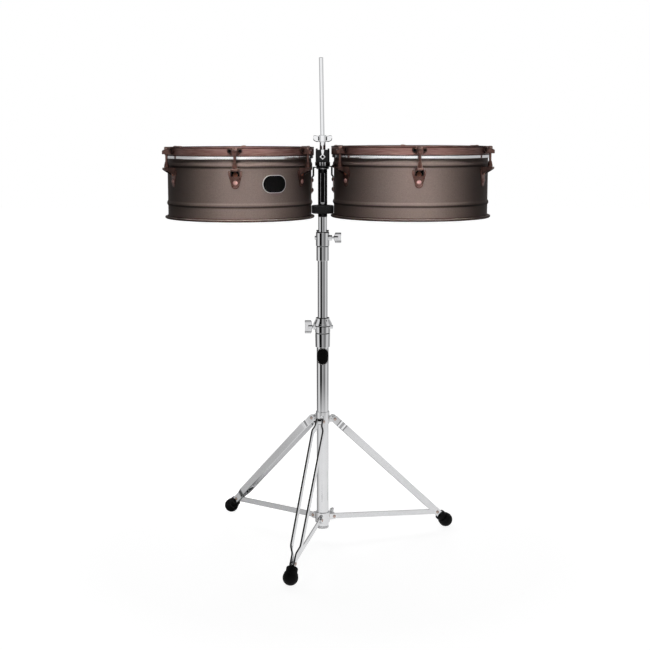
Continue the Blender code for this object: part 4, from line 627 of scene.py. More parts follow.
def tension_rod_parts(place):
    head = [(0.0, 0.176), (0.0032, 0.1758), (0.0052, 0.1746), (0.0055, 0.1738), (0.0055, 0.1694), (0.0, 0.1694)]
    shaft = [(0.0, 0.1692), (0.003, 0.1692), (0.003, 0.119), (0.0024, 0.1184), (0.0, 0.1184)]
    ferrule = [(0.0, 0.1404), (0.0038, 0.1404), (0.0061, 0.1303), (0.0062, 0.129), (0.0062, 0.1264), (0.0, 0.1264)]
    nut = [(0.0, 0.1233), (0.0046, 0.1233), (0.0055, 0.1228), (0.0055, 0.1198), (0.0046, 0.1193), (0.0, 0.1193)]
    return [(knob(head, 0.0003, 6), place, BOLT_COPPER), (peg(0.0058, 0.1696, 0.169, 0.0002, 28), place, ANTIQUE),
            (knob(shaft, 0.0002, 24), place, ANTIQUE), (knob(ferrule, 0.0006, 28), place, ANTIQUE),
            (knob(nut, 0.0002, 6), place, ANTIQUE)]


def hanger_parts(place):
    plate = raised(rounded_box(HANGER_HALF_WIDTH, 0.0197, 0.0035), 0.0797)
    parts = [(slab(plate, 0.0, 0.002, 0.0005), place @ shift(x=HANGER_FACE) @ ACROSS, ANTIQUE)]
    strip = [(0.02764, 0.0985), (0.02764, 0.1002), (0.025, 0.1046), (0.025, 0.1253), (0.0185, 0.1253),
             (0.0185, 0.1228), (0.0206, 0.1228), (0.0206, 0.103), (0.0245, 0.0985), (0.02524, 0.0985)]
    strip = fillet(strip, [0.0, 0.003, 0.003, 0.003, 0.0, 0.0, 0.0012, 0.003, 0.003, 0.0], 5)
    parts.append((slab(strip, -HANGER_HALF_WIDTH, HANGER_HALF_WIDTH, 0.0005), place @ STANDING, BLACK))
    outer = []
    inner = ellipse(0.01034, 0.01034, 72)
    for along, across in ellipse(1.0, 1.0, 72):
        reach = HANGER_HALF_WIDTH
        if along > 0.0:
            reach = min(0.0187 / along, HANGER_HALF_WIDTH / max(abs(across), 1e-6))
        outer.append((reach * along, reach * across))
    parts.append((ring_slab(outer, inner, 0.1233, 0.1253, 0.0003), place, BLACK))
    for height in HANGER_BOLTS:
        face = place @ shift(x=HANGER_FACE, z=height)
        parts += [(dome(0.0055, 0.0035), face @ Z_TO_MINUS_X, ANTIQUE),
                  (peg(0.0055, 0.0, 0.0035, 0.0004, 6), face @ shift(x=0.005) @ Z_TO_X, ANTIQUE),
                  (peg(0.003, 0.0, 0.0086, 0.0, 20), face @ shift(x=0.0001) @ Z_TO_X, ANTIQUE)]
    return parts


for side, radius in DRUM_RADIUS.items():
    base = DRUM_PLACE[side]
    body = side + "_drum"
    # Painted shade: a dark ring in the crease above the rim and one under the rim's roll
    crease_shade = tube(radius - 0.0008, radius + 0.0014, 0.0063, 0.0081, 0.0004, DRUM_STEPS)
    under = shade([(radius + out, height) for out, height in RIM[6:9]])
    shell = [(lathe(shell_profile(radius), DRUM_STEPS), base, BRONZE), (crease_shade, base, DARK_BROWN_RING),
             (under, base, DARK_BROWN_RING)]
    # Painted shade: darker bronze rings over the lower flank of each bead
    shell += [(shade(bead(radius, height)[7:12]), base, PAINTED_SHADE_BRONZE) for height in BEAD_HEIGHTS]
    dressed(side + "_shell", body, shell)
    lugs = []
    claws = []
    for index in range(LUG_COUNT):
        place = base @ turn(LUG_TURN[side] + 2 * math.pi * index / LUG_COUNT)
        lugs += lug_parts(radius, place)
        claws += claw_parts(radius, place)
        rod_place = place @ shift(y=-radius - ROD_REACH)
        number = str(index + 1)
        piece(side + "_tension_rod_dressed_" + number, side + "_rod_" + number, tension_rod_parts(rod_place),
              [side + "_tension_rod_" + number])
    piece(side + "_lugs", body, lugs, [])
    piece(side + "_claws", body, claws, [side + "_claw_" + str(index + 1) for index in range(LUG_COUNT)])
    inside, outside = radius + HOOP_INNER, radius + HOOP_OUTER
    hoop = [(tube(inside, outside, HOOP_LOW, HOOP_HIGH, 0.001, DRUM_STEPS), base, HOOP_COPPER)]
    # Dark rings along the hoop's bottom and top edges
    for low, high in ((HOOP_LOW - 0.0001, HOOP_LOW + 0.0013), (HOOP_HIGH - 0.002, HOOP_HIGH + 0.0001)):
        hoop.append((tube(inside - 0.0002, outside + 0.0002, low, high, 0.0007, DRUM_STEPS), base, DARK_BROWN_RING))
    piece(side + "_counterhoop", body, hoop, [side + "_hoop"])
    film = [(0.0, 0.165), (radius - 0.006, 0.165), (radius - 0.002, 0.1649), (radius + 0.0008, 0.164),
            (radius + 0.0018, 0.1622), (radius + 0.0018, 0.152), (radius + 0.0006, 0.152), (radius + 0.0005, 0.1625),
            (radius - 0.001, 0.164), (0.0, 0.164)]
    flesh = tube(radius + 0.0012, radius + FLESH_REACH, FLESH_LOW, FLESH_HIGH, 0.0008, DRUM_STEPS)
    head = [(lathe(film, DRUM_STEPS, closed=False), base, HEAD_WHITE), (flesh, base, FLESH_ALLOY)]
    dressed(side + "_head", body, head)
    hanger_place = shift(AXIS_X, AXIS_Y, base.translation.z) @ turn(math.pi if side == "left" else 0.0)
    dressed(side + "_hanger", body, hanger_parts(hanger_place))

border = raised(rounded_box(0.0315, 0.0213, 0.0205, 12), BADGE_HEIGHT)
field = raised(rounded_box(0.0298, 0.0196, 0.019, 12), BADGE_HEIGHT)
radius = DRUM_RADIUS["left"]
place = DRUM_PLACE["left"] @ turn(BADGE_TURN)
badge = [(wrap(slab(border, -0.0008, 0.0007, 0.0003), radius), place, PALE_PLATE),
         (wrap(slab(field, -0.0006, 0.001, 0.0002), radius), place, DARK_PLATE)]
piece("left_badge", "left_drum", badge, [])


# Head of the stand

POST_BASE, POST_SHOULDER, POST_TOP = 0.834565, 0.952265, 0.9775
POST_FLOOR = 0.863
SLOT_LOW, SLOT_MIDDLE, SLOT_HALF_WIDTH = 0.865365, 0.9048, 0.0045
BUMPER_LOW, BUMPER_HIGH = 0.842665, 0.863165
WASHER_LOW, WASHER_HIGH = 0.952565, 0.955565
RING_LOW, RING_HIGH = 0.960465, 0.970165
BLOCK_LOW, BLOCK_HIGH = 0.970465, 0.999865
SLEEVE_RADIUS, SLEEVE_TOP = 0.00725, 1.023865
NUT_LOW, NUT_HIGH = 1.018665, 1.035765
LOCK_HEIGHT = 0.982765
RING_STEPS, RING_LOBES = 144, 12


def post_mesh():
    base, shoulder = POST_BASE, POST_SHOULDER
    profile = fillet([(0.00834, POST_FLOOR), (0.00834, POST_TOP), (0.01004, POST_TOP), (0.01004, shoulder),
                      (0.01154, shoulder), (0.01154, base), (0.0095, base), (0.0095, base - 0.025),
                      (0.0, base - 0.025), (0.0, POST_FLOOR)],
                     [0.0, 0.0, 0.0003, 0.0, 0.0007, 0.0007, 0.0, 0.0, 0.0, 0.0], 3)
    post = lathe(profile, 96, closed=False)
    low, high, half = SLOT_LOW, shoulder - 0.008, SLOT_HALF_WIDTH
    slot = arc((0.0, high - half), half, 0.0, math.pi, 16) + arc((0.0, low + half), half, math.pi, 2 * math.pi, 16)
    cutter = slab(slot, 0.0, 0.02, 0.0)
    cutter.transform(STANDING)
    post = carve(post, cutter)
    lip = []
    for line in post.edges:
        if len(line.link_faces) == 2 and line.calc_face_angle() > SLOT_SHARP:
            if all(abs(v.co.x) < 0.0047 and v.co.y < -0.0095 and low - 0.001 < v.co.z < high + 0.001
                   for v in line.verts):
                lip.append(line)
    soften(post, lip, 0.0005)
    return post


slot_front = COLUMN @ shift(z=SLOT_MIDDLE) @ STANDING
# Painted shade: a dark plate inside the slot
groove = slab(rounded_box(0.0056, 0.0392, 0.002), 0.0064, 0.0076, 0.0002)
# Painted highlight: a grey steel frame on the slot's edges and a light satin block at its lower end
slot_rim = ring_slab(rounded_box(0.0056, 0.04, 0.005), rounded_box(0.0044, 0.0393, 0.0042), 0.0098, 0.0108,
                     0.0002)
slot_end = slab(rounded_box(0.0046, 0.003, 0.001), 0.008, 0.0104, 0.0004)
post_parts = [(post_mesh(), COLUMN, BLACK), (groove, slot_front, DARK_PLATE), (slot_rim, slot_front, DARK_STEEL),
              (slot_end, slot_front @ shift(y=-0.0372), SATIN)]
dressed("mount_post", "upper", post_parts)
foam = tube(0.01184, 0.02764, BUMPER_LOW, BUMPER_HIGH, 0.0034)
bumper = piece("bumper_foam", "upper", [(foam, COLUMN, FOAM)], ["rubber_bumper"])
dressed("clamp_washer", "upper", [(tube(0.0104, 0.0155, WASHER_LOW, WASHER_HIGH, 0.0006), COLUMN, SATIN)])

lobed = []
for step in range(RING_STEPS):
    angle = 2 * math.pi * step / RING_STEPS
    reach = 0.0186 - 0.0011 * (0.5 - 0.5 * math.cos(RING_LOBES * angle)) ** 2
    lobed.append((reach * math.cos(angle), reach * math.sin(angle)))
ring_nut = ring_slab(lobed, ellipse(0.01045, 0.01045, RING_STEPS), RING_LOW, RING_HIGH, 0.0009)
dressed("ring_nut", "ring_nut", [(ring_nut, COLUMN, DARK_STEEL)])

block_parts = [(slab(rounded_box(0.0172, 0.015, 0.0045), BLOCK_LOW, BLOCK_HIGH, 0.0014, 3), COLUMN, WORN_BLACK)]
for hand in (-1, 1):
    horn = slab(rounded_box(0.0024, 0.0135, 0.0016), BLOCK_HIGH - 0.001, BLOCK_HIGH + 0.003, 0.0009, 3)
    block_parts.append((horn, COLUMN @ shift(x=hand * 0.0146), WORN_BLACK))
block_parts.append((tube(0.00625, SLEEVE_RADIUS, BLOCK_HIGH - 0.001, SLEEVE_TOP, 0.0003, 64), COLUMN, CHROME))
for degrees in (50, 130, 230, 310):
    split = wrap(slab(rounded_box(0.0014, 0.0082, 0.0008), -0.0002, 0.0004, 0.0001), SLEEVE_RADIUS, 0.001, 0.004)
    block_parts.append((split, COLUMN @ shift(z=1.0098) @ turn(math.radians(degrees)), DARK_PLATE))
tongue = fillet([(-0.0042, BLOCK_HIGH + 0.001), (0.0042, BLOCK_HIGH + 0.001), (0.0036, 0.9935), (0.0024, 0.988),
                 (-0.0024, 0.988), (-0.0036, 0.9935)], 0.0012, 4)
block_parts.append((slab(tongue, 0.0138, 0.016, 0.0007), COLUMN @ STANDING, CHROME))
dressed("head_block", "upper", block_parts)

diamond = fillet([(0.0076, 0.0), (0.0, 0.0076), (-0.0076, 0.0), (0.0, -0.0076)], 0.0012, 4)
lock_place = COLUMN @ shift(y=-0.0153, z=LOCK_HEIGHT) @ STANDING
# Painted shade: a dark disc in the eye of the diamond
lock_parts = [(ring_slab(diamond, ellipse(0.0033, 0.0033, 20), 0.0, 0.004, 0.0005), lock_place, CHROME),
              (peg(0.0034, 0.0012, 0.0, 0.0, 24), lock_place, DARK_PLATE)]
dressed("rod_lock_screw", "lock_screw", lock_parts)

nut_hub = fillet([(0.00755, NUT_LOW), (0.00925, NUT_LOW), (0.00925, NUT_LOW + 0.007), (0.009, NUT_HIGH),
                  (0.0063, NUT_HIGH), (0.0063, NUT_LOW + 0.0055), (0.00755, NUT_LOW + 0.0055)],
                 [0.0003, 0.0008, 0.002, 0.0008, 0.0003, 0.0, 0.0], 3)
nut_parts = [(lathe(nut_hub, 48), COLUMN, CHROME)]
for hand in (0.0, math.pi):
    wing = fillet(raised([(0.0075, 0.0006), (0.015, 0.0008), (0.0212, 0.0032), (0.0235, 0.009), (0.023, 0.016),
                          (0.0185, 0.0166), (0.012, 0.015), (0.0075, 0.015)], NUT_LOW), 0.0032, 5)
    # Painted shade: dark plates along the lower edge of each wing and at its root
    edge = fillet(raised([(0.0105, 0.0003), (0.015, 0.0004), (0.0216, 0.003), (0.0238, 0.0086), (0.0222, 0.0088),
                          (0.0203, 0.0044), (0.0148, 0.0024), (0.0105, 0.0022)], NUT_LOW), 0.0012, 4)
    root = raised(rounded_box(0.0011, 0.005, 0.0009), NUT_LOW + 0.0084, 0.0102)
    place = COLUMN @ turn(hand) @ STANDING
    nut_parts += [(slab(wing, -0.0021, 0.0021, 0.0012, 3), place, CHROME),
                  (slab(edge, -0.0023, 0.0023, 0.0004), place, DARK_PLATE),
                  (slab(root, -0.0025, 0.0025, 0.0003), place, DARK_PLATE)]
dressed("top_wing_nut", "wing_nut", nut_parts)

bell_rod = peg(ROD_RADIUS, ROD_ABOVE, -ROD_BELOW, 0.0013, 64)
bell_place = COLUMN @ shift(z=ROD_CENTRE) @ Matrix.Rotation(ROD_LEAN, 4, "Y")
dressed("cowbell_rod", "bell_rod", [(bell_rod, bell_place, CHROME)])


# Column

PADDLE_TILT = math.radians(5.5)


def wing_parts(span, place, start, length, tip, tilt=0.0):
    half = span / 2
    upper = [(-0.0022, 0.0042), (-0.001, 0.005), (0.0006, half - 0.0024), (0.0024, half), (length - 0.0012, half),
             (length, half - 0.0024), (length * 0.97, 0.003)]
    outline = upper + [(u, -v) for u, v in reversed(upper)]
    radii = [0.0, 0.002, 0.004, 0.0025, 0.002, 0.002, 0.003]
    wings = fillet([(u + start, v) for u, v in outline], radii + radii[::-1], 5)
    hub = [(0.0, start + 0.58 * length), (0.005, start + 0.52 * length), (0.0054, start), (0.003, start - 0.0025),
           (0.003, tip), (0.0, tip)]
    leaning = place @ Matrix.Rotation(tilt, 4, "X")
    parts = [(slab(wings, -0.0026, 0.0026, 0.0012, 3), leaning @ STANDING, DULL_STEEL),
             (knob(hub, 0.0006, 36), place @ Z_TO_X, CHROME)]
    for hand in (-1, 1):
        roll = peg(0.0034, start + 0.0016, start + length, 0.0012, 32)
        parts.append((roll, leaning @ shift(z=hand * (half - 0.0034)) @ Z_TO_X, DULL_STEEL))
    return parts


def clamp_parts(outer, inner, origin, boss_side, boss_height, ear_reach, groove, knobs):
    base = COLUMN @ shift(z=origin)
    toward = base @ shift(z=boss_height) @ turn(0.0 if boss_side > 0 else math.pi)
    away = base @ shift(z=boss_height) @ turn(math.pi if boss_side > 0 else 0.0)
    ear = [(0.0, 0.013), (0.005, 0.013), (0.005, ear_reach - 0.0012), (0.0038, ear_reach), (0.0, ear_reach)]
    throat, top = inner[-1][0], outer[0][1]
    parts = [(lathe(fillet(outer + inner, 0.0007, 3), 96), base, CHROME),
             (tube(0.0034, 0.0072, 0.013, BOSS_REACH, 0.0009, 40), toward @ Z_TO_X, CHROME),
             (knob(ear, 0.0005, 36), away @ Z_TO_X, CHROME),
             # Painted shade: a dark ring in the clamp's groove
             (tube(outer[-1][0] - 0.003, groove, -0.0052, -0.0037, 0.0002), base, DARK_PLATE),
             (tube(throat, outer[0][0] + 0.0002, top - 0.0014, top + 0.0004, 0.0003), base, DARK_PLATE)]
    head = [(0.0, 0.006), (0.0018, 0.0056), (0.0026, 0.0042), (0.0024, 0.0026), (0.0012, 0.0018), (0.0012, -0.002),
            (0.0, -0.002)]
    for hand in knobs:
        parts.append((knob(head, 0.0003, 24), base @ shift(x=hand * 0.0132, y=-0.003, z=top), DARK_PLATE))
    return parts


LOWER_OUTER = [(0.0168, 0.0345), (0.0176, 0.0315), (0.0232, 0.0203), (0.0232, 0.0155), (0.019, 0.015),
               (0.019, -0.0032), (0.0174, -0.0038), (0.0174, -0.0051), (0.019, -0.0058), (0.0182, -0.04)]
LOWER_INNER = [(SLEEVE_BORE, -0.04), (SLEEVE_BORE, 0.0), (0.0128, 0.0), (0.0128, 0.0345)]
UPPER_OUTER = [(0.016, 0.031), (0.0168, 0.0294), (0.0168, -0.0032), (0.0149, -0.0038), (0.0149, -0.0051),
               (0.0157, -0.0058), (0.0157, -0.0405)]
UPPER_INNER = [(0.0128, -0.0405), (0.0128, 0.0), (0.0113, 0.0), (0.0113, 0.031)]
lower_parts = clamp_parts(LOWER_OUTER, LOWER_INNER, LOWER_CLAMP, -1, LOWER_BOSS, 0.0262, 0.018, ())
# Painted shade: a dark ring under the lower clamp's flange
under_flange = tube(0.018, 0.0204, 0.0126, 0.0152, 0.0004)
lower_parts.append((under_flange, COLUMN @ shift(z=LOWER_CLAMP), DARK_PLATE))
dressed("lower_clamp", "column", lower_parts)
upper_parts = clamp_parts(UPPER_OUTER, UPPER_INNER, UPPER_CLAMP, 1, UPPER_BOSS, 0.0198, 0.0153, (-1, 1))
dressed("upper_clamp", "middle", upper_parts)
lower_screw = wing_parts(0.033, COLUMN @ shift(z=LOWER_CLAMP + LOWER_BOSS) @ turn(math.pi), start=0.0275,
                         length=0.0175, tip=0.015, tilt=PADDLE_TILT)
dressed("lower_wing_screw", "lower_screw", lower_screw)
upper_screw = wing_parts(0.026, COLUMN @ shift(z=UPPER_CLAMP + UPPER_BOSS), start=0.03, length=0.0165, tip=0.013,
                         tilt=-PADDLE_TILT)
dressed("upper_wing_screw", "upper_screw", upper_screw)

for node, body, wall in (("lower_tube", "column", 0.0015), ("middle_tube", "middle", 0.0012),
                         ("upper_tube", "upper", 0.0012)):
    low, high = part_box(node)
    outside = (high[0] - low[0]) / 2
    pipe = tube(outside - wall, outside, low[2], high[2], 0.0004, 128)
    dressed(node, body, [(pipe, COLUMN, CHROME)])
plug_low, plug_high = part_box("tube_end_plug")
plug_mesh = knob([(0.0, plug_low[2]), (TUBE_RADIUS, plug_low[2]), (TUBE_RADIUS, 0.0356), (0.0135, 0.0356),
                  (0.0135, plug_high[2]), (0.0, plug_high[2])], 0.0012, 64)
dressed("tube_end_plug", "column", [(plug_mesh, COLUMN, PLUG)])

oval_parts = []
for outline, thickness, material in ((ellipse(0.019, 0.0215), 0.0004, PALE_PLATE),
                                     (ellipse(0.0172, 0.0197), 0.0006, DARK_PLATE)):
    oval = slab(raised(outline, OVAL_HEIGHT), -0.0002, thickness, 0.0001)
    oval_parts.append((wrap(oval, TUBE_RADIUS, 0.0012, 0.022), COLUMN, material))
piece("tube_badge", "column", oval_parts, [])


# Tripod

def ear_outline(root):
    return [(root, 0.008), (root, -0.008)] + arc((PIVOT_RADIUS, 0.0), 0.008, -RIGHT_ANGLE, RIGHT_ANGLE, 14)


hub_base = COLUMN @ shift(z=HUB_PIVOT)
hub_parts = [(tube(SLEEVE_BORE, 0.01755, -0.011, 0.021, 0.0008), hub_base, CHROME)]
for azimuth in LEG_AZIMUTH.values():
    ear = slab(ear_outline(0.0165), -0.0059, 0.0059, 0.0009, 3)
    hub_parts.append((ear, hub_base @ turn(azimuth) @ STANDING, CHROME))
dressed("leg_hub", "column", hub_parts)

collar_base = COLUMN @ shift(z=COLLAR_PIVOT)
collar_parts = [(tube(SLEEVE_BORE, 0.01895, -0.0124, 0.0146, 0.0011), collar_base, CHROME)]
for azimuth in LEG_AZIMUTH.values():
    for hand in (-1, 1):
        cheek = slab(ear_outline(0.0172), -0.00175, 0.00175, 0.0008, 3)
        collar_parts.append((cheek, collar_base @ turn(azimuth) @ shift(y=hand * 0.00375) @ STANDING, CHROME))
boss = lathe(fillet([(0.0034, 0.017), (0.0068, 0.017), (0.0068, 0.0252), (0.005, 0.027), (0.0034, 0.027)],
                    0.0005, 3), 40)
collar_parts.append((boss, collar_base @ turn(BOSS_AZIMUTH) @ Z_TO_X, CHROME))
dressed("brace_collar", "collar", collar_parts)
collar_screw = wing_parts(0.022, collar_base @ turn(BOSS_AZIMUTH), start=0.04, length=0.014, tip=0.0165)
dressed("collar_wing_screw", "collar_screw", collar_screw)


def leg_parts(place):
    half = STRIP_THICKNESS / 2
    top, low = 0.0062 + half, 0.0023 + half
    path = smooth_path([(-LEG_LENGTH, top), (0.019 - LEG_LENGTH, top), (0.032 - LEG_LENGTH, 0.014),
                        (-0.042, 0.0118), (-0.022, low), (LEG_TAIL, low)], 0.005)
    stations = []
    for step in range(8):
        angle = RIGHT_ANGLE * (1 - step / 8) * 0.97
        stations.append((-LEG_LENGTH - STRIP_HALF_WIDTH * math.sin(angle), top, STRIP_HALF_WIDTH * math.cos(angle)))
    stations += [(u, v, STRIP_HALF_WIDTH) for u, v in path]
    parts = []
    for hand in (1, -1):
        parts.append((ribbon([(u, hand * v, w) for u, v, w in stations], STRIP_THICKNESS), place, STEEL))
        for end, level in ((0.0, low), (-LEG_LENGTH, top)):
            out = shift(end, hand * (level + half)) @ sideways(hand)
            parts.append((dome(PIN_HEAD_RADIUS, 0.0025), place @ out, LEG_RIVET))
    parts.append((peg(PIN_RADIUS, -low, low, 0.0, 20), place @ STANDING, STEEL))
    spacer = slab(rounded_box(0.0085, 0.0083, 0.001), -0.0023, 0.0023, 0.0004)
    parts.append((spacer, place @ shift(x=LEG_TAIL - 0.0092) @ STANDING, STEEL))
    return parts


def foot_mesh(place):
    ball_x, ball = 0.0358, 0.01846
    profile = [(0.0, 0.013), (0.0104, 0.013), (0.0108, 0.0108), (0.0132, 0.0108), (0.01396, 0.0118),
               (0.01396, 0.021), (0.013, 0.022), (0.013, 0.0238), (0.0162, 0.025), (0.017, 0.0272)]
    for step in range(13):
        angle = math.radians(-22.0 + 112.0 * step / 12)
        profile.append((max(ball * math.cos(angle), 0.0), ball_x + ball * math.sin(angle)))
    profile[-1] = (0.0, profile[-1][1])
    foot = lathe(profile, 64, closed=False)
    foot.transform(place @ Z_TO_X)
    everything = foot.verts[:] + foot.edges[:] + foot.faces[:]
    bmesh.ops.bisect_plane(foot, geom=everything, plane_co=(0, 0, 0), plane_no=(0, 0, -1), clear_outer=True)
    open_edges = [line for line in foot.edges if line.is_boundary]
    bmesh.ops.edgeloop_fill(foot, edges=open_edges)
    bmesh.ops.recalc_face_normals(foot, faces=foot.faces)
    return foot


for side, azimuth in LEG_AZIMUTH.items():
    leg_place = (COLUMN @ shift(z=OUTER_PIVOT) @ turn(azimuth) @ shift(x=PIVOT_RADIUS + LEG_RUN)
                 @ Matrix.Rotation(RIGHT_ANGLE - LEG_SPREAD, 4, "Y"))
    piece("leg_dressed_" + side, "leg_" + side, leg_parts(leg_place), ["leg_" + side])
    foot = foot_mesh(leg_place)
    piece("foot_dressed_" + side, "leg_" + side, [(foot, Matrix.Identity(4), RUBBER)], ["foot_" + side])
    dip = math.atan2(BRACE_RISE, LEG_RUN)
    brace_place = collar_base @ turn(azimuth) @ shift(x=PIVOT_RADIUS) @ Matrix.Rotation(dip, 4, "Y")
    stadium = arc((BRACE_LENGTH, 0.0), BRACE_HALF_WIDTH, -RIGHT_ANGLE, RIGHT_ANGLE, 12)
    stadium += arc((0.0, 0.0), BRACE_HALF_WIDTH, RIGHT_ANGLE, 3 * RIGHT_ANGLE, 12)
    brace_parts = [(slab(stadium, -0.0017, 0.0017, 0.0007, 3), brace_place @ STANDING, STEEL)]
    for hand in (-1, 1):
        out = shift(y=hand * BRACE_PIN_REACH) @ sideways(hand)
        brace_parts.append((dome(PIN_HEAD_RADIUS, 0.0022, 0.0003), brace_place @ out, LEG_RIVET))
    pin = peg(PIN_RADIUS, -BRACE_PIN_REACH, BRACE_PIN_REACH, 0.0, 20)
    brace_parts.append((pin, brace_place @ STANDING, STEEL))
    piece("brace_dressed_" + side, "brace_" + side, brace_parts, ["brace_" + side])


# Studio: camera rays see white, and polished metal sees light and dark cards round the object

CARDS = ((-180, 0.3), (-125, 0.1), (-104, 0.12), (-92, 0.66), (-58, 0.7), (-52, 0.004), (-20, 0.004), (-12, 0.2),
         (-4, 0.42), (8, 0.36), (20, 0.22), (44, 0.16), (54, 0.42), (66, 0.6), (84, 0.66), (100, 0.36), (125, 0.34),
         (180, 0.45))
NEAR_CARDS = ((-180, 0.7), (-162, 0.6), (-152, 0.08), (-134, 0.06), (-124, 0.48), (-95, 0.48), (-75, 0.74),
              (0, 0.78), (180, 0.72))
HIGH_CARDS = ((-180, 0.5), (-75, 0.5), (-48, 0.96), (18, 0.96), (44, 0.8), (66, 0.6), (180, 0.55))


def calculated(tree, operation, first, second):
    node = add(tree, "ShaderNodeMath", {0: first, 1: second})
    node.operation = operation
    return node.outputs[0]


def cards(tree, place, levels):
    """Brightness by compass direction about the object, 0 degrees being the front."""
    south = calculated(tree, "MULTIPLY", place.outputs["Y"], -1.0)
    angle = calculated(tree, "ARCTAN2", place.outputs["X"], south)
    ramp = add(tree, "ShaderNodeValToRGB", {"Fac": ranged(tree, angle, -math.pi, math.pi)})
    stops = ramp.color_ramp.elements
    while len(stops) < len(levels):
        stops.new(0.5)
    for stop, (degrees, level) in zip(stops, levels):
        stop.position = (degrees + 180) / 360
        stop.color = (level, level, level * 1.01, 1.0)
    return ramp.outputs["Color"]


WHITE = (1.0, 1.0, 1.0, 1.0)
AMBIENT = (0.04, 0.04, 0.041, 1.0)
OVERHEAD = (0.02, 0.02, 0.02, 1.0)
MATT_GREY, BOUNCE_GREY = (0.3, 0.3, 0.3, 1.0), (0.12, 0.12, 0.12, 1.0)
LOW_EDGE, HIGH_EDGE, TOP_EDGE = (-0.05, -0.036), (0.2, 0.28), (0.8, 0.92)
FADE_REACH, GLOW_REACH, GLOW_RANGE = (0.9, 2.1), (0.55, 1.1), (0.92, 1.0)
FLOOR_REACH = 14.0
world = bpy.data.worlds.new("studio")
scene.world = world
world.use_nodes = True
sky = world.node_tree
coords = sky.nodes.new("ShaderNodeTexCoord")
direction = add(sky, "ShaderNodeSeparateXYZ", {0: coords.outputs["Generated"]})


def by_height(first, second, low, high):
    """Change from one set of cards to another between two heights in the sky."""
    return mixed(sky, ranged(sky, direction.outputs["Z"], low, high), first, second)


level_cards = cards(sky, direction, CARDS)
around = by_height(level_cards, cards(sky, direction, HIGH_CARDS), *LOW_EDGE)
around = by_height(around, level_cards, *HIGH_EDGE)
around = by_height(around, OVERHEAD, *TOP_EDGE)
path = sky.nodes.new("ShaderNodeLightPath")
seen = mixed(sky, path.outputs["Is Glossy Ray"], AMBIENT, around)
fill(sky, sky.nodes["Background"], {"Color": mixed(sky, path.outputs["Is Camera Ray"], seen, WHITE)})

floor_mesh = bmesh.new()
bmesh.ops.create_grid(floor_mesh, x_segments=1, y_segments=1, size=FLOOR_REACH)
floor_data = to_data(floor_mesh, "floor")
floor = bpy.data.objects.new("floor", floor_data)
scene.collection.objects.link(floor)
paper = bpy.data.materials.new("studio_paper")
paper.use_nodes = True
tree = paper.node_tree
tree.nodes.clear()
geometry = tree.nodes.new("ShaderNodeNewGeometry")
spot = add(tree, "ShaderNodeSeparateXYZ", {0: geometry.outputs["Position"]})
flat = add(tree, "ShaderNodeCombineXYZ", {"X": spot.outputs["X"], "Y": spot.outputs["Y"]})
reach = add(tree, "ShaderNodeVectorMath", {0: flat.outputs[0]})
reach.operation = "LENGTH"
fade = ranged(tree, reach.outputs["Value"], *FADE_REACH, kind="SMOOTHSTEP")
near = cards(tree, spot, NEAR_CARDS)
mirrored = mixed(tree, fade, near, cards(tree, spot, CARDS))
far = ranged(tree, reach.outputs["Value"], *GLOW_REACH, *GLOW_RANGE)
glow = add(tree, "ShaderNodeEmission", {"Color": WHITE, "Strength": far})
matt = add(tree, "ShaderNodeBsdfDiffuse", {"Color": MATT_GREY})
bounce = add(tree, "ShaderNodeBsdfDiffuse", {"Color": BOUNCE_GREY})
lit = add(tree, "ShaderNodeAddShader", {0: glow.outputs[0], 1: matt.outputs[0]})
path = tree.nodes.new("ShaderNodeLightPath")
plain = add(tree, "ShaderNodeMixShader",
            {0: path.outputs["Is Camera Ray"], 1: bounce.outputs[0], 2: lit.outputs[0]})
mirror = add(tree, "ShaderNodeEmission", {"Color": mirrored})
final = add(tree, "ShaderNodeMixShader",
            {0: path.outputs["Is Glossy Ray"], 1: plain.outputs[0], 2: mirror.outputs[0]})
add(tree, "ShaderNodeOutputMaterial", {"Surface": final.outputs[0]})
floor_data.materials.append(paper)


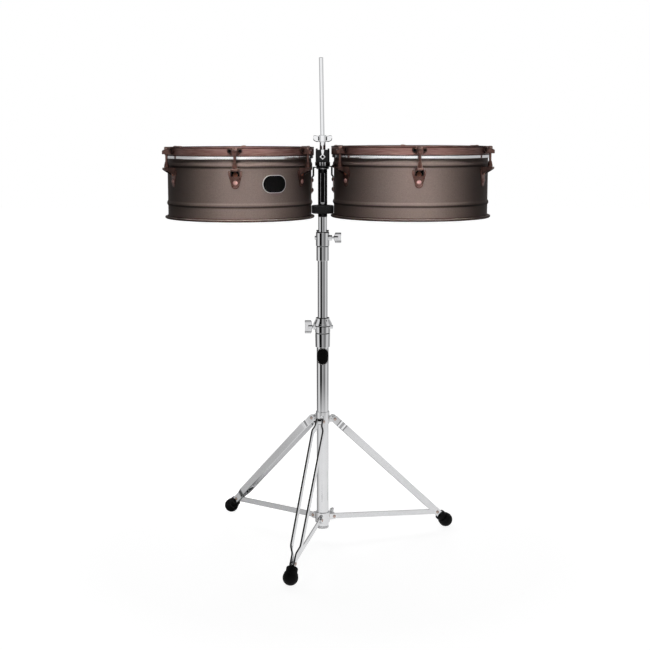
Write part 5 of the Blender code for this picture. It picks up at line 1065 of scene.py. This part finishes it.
def lamp(name, place, target, size, watts, spread=math.pi):
    """Soft box that polished metal doesn't mirror; a small spread is that of a grid in front of it."""
    data = bpy.data.lights.new(name, "AREA")
    data.shape = "RECTANGLE"
    data.size, data.size_y = size
    data.energy = watts
    data.spread = spread
    light = bpy.data.objects.new(name, data)
    light.location = place
    light.rotation_euler = (Vector(target) - Vector(place)).to_track_quat("-Z", "Y").to_euler()
    light.visible_glossy = False
    scene.collection.objects.link(light)


SOFT_BOX, TOP_BOX, GRID_BOX = (0.9, 0.6), (2.0, 2.0), (0.08, 0.6)
GRID_SPREAD = math.radians(7.7)
BEAM_SIDE, BEAM_FRONT, BEAM_HEIGHT = 0.1, -1.83, 2.66
BEAM_TARGET_HEIGHT = 0.085
BEAM_AIM = {"left": 0.019, "right": -0.004}
BEAM_WATTS = {"left": 0.46, "right": 0.49}
KEY_WATTS, BACK_WATTS, TOP_WATTS = 2.5, 9.0, 4.0
for side, radius in DRUM_RADIUS.items():
    drum_x, drum_y, drum_z = DRUM_PLACE[side].translation
    target = (drum_x + BEAM_AIM[side], drum_y - radius, drum_z + BEAM_TARGET_HEIGHT)
    lamp(side + "_front", (drum_x + BEAM_SIDE, BEAM_FRONT, BEAM_HEIGHT), target, GRID_BOX, BEAM_WATTS[side],
         GRID_SPREAD)
lamp("key", (0.0, -1.15, 2.35), (0.0, 0.0, 0.85), SOFT_BOX, KEY_WATTS)
for name, along in (("back_left", -0.55), ("back_right", 0.55)):
    lamp(name, (along, 1.85, 1.45), (0.0, 0.1, 0.85), SOFT_BOX, BACK_WATTS)
lamp("top", (0.0, 0.0, 3.2), (0.0, 0.05, 0.0), TOP_BOX, TOP_WATTS)

CAMERA_PLACE = (-0.00669, -3.05137, 1.0444)
CAMERA_DIP = math.radians(8.862)
CAMERA_LENS, SENSOR_WIDTH = 68.73, 36.0
camera_data = bpy.data.cameras.new("camera")
camera_data.sensor_width = SENSOR_WIDTH
camera_data.lens = CAMERA_LENS
camera = bpy.data.objects.new("camera", camera_data)
camera.location = CAMERA_PLACE
camera.rotation_euler = (RIGHT_ANGLE - CAMERA_DIP, 0.0, 0.0)
scene.collection.objects.link(camera)
scene.camera = camera
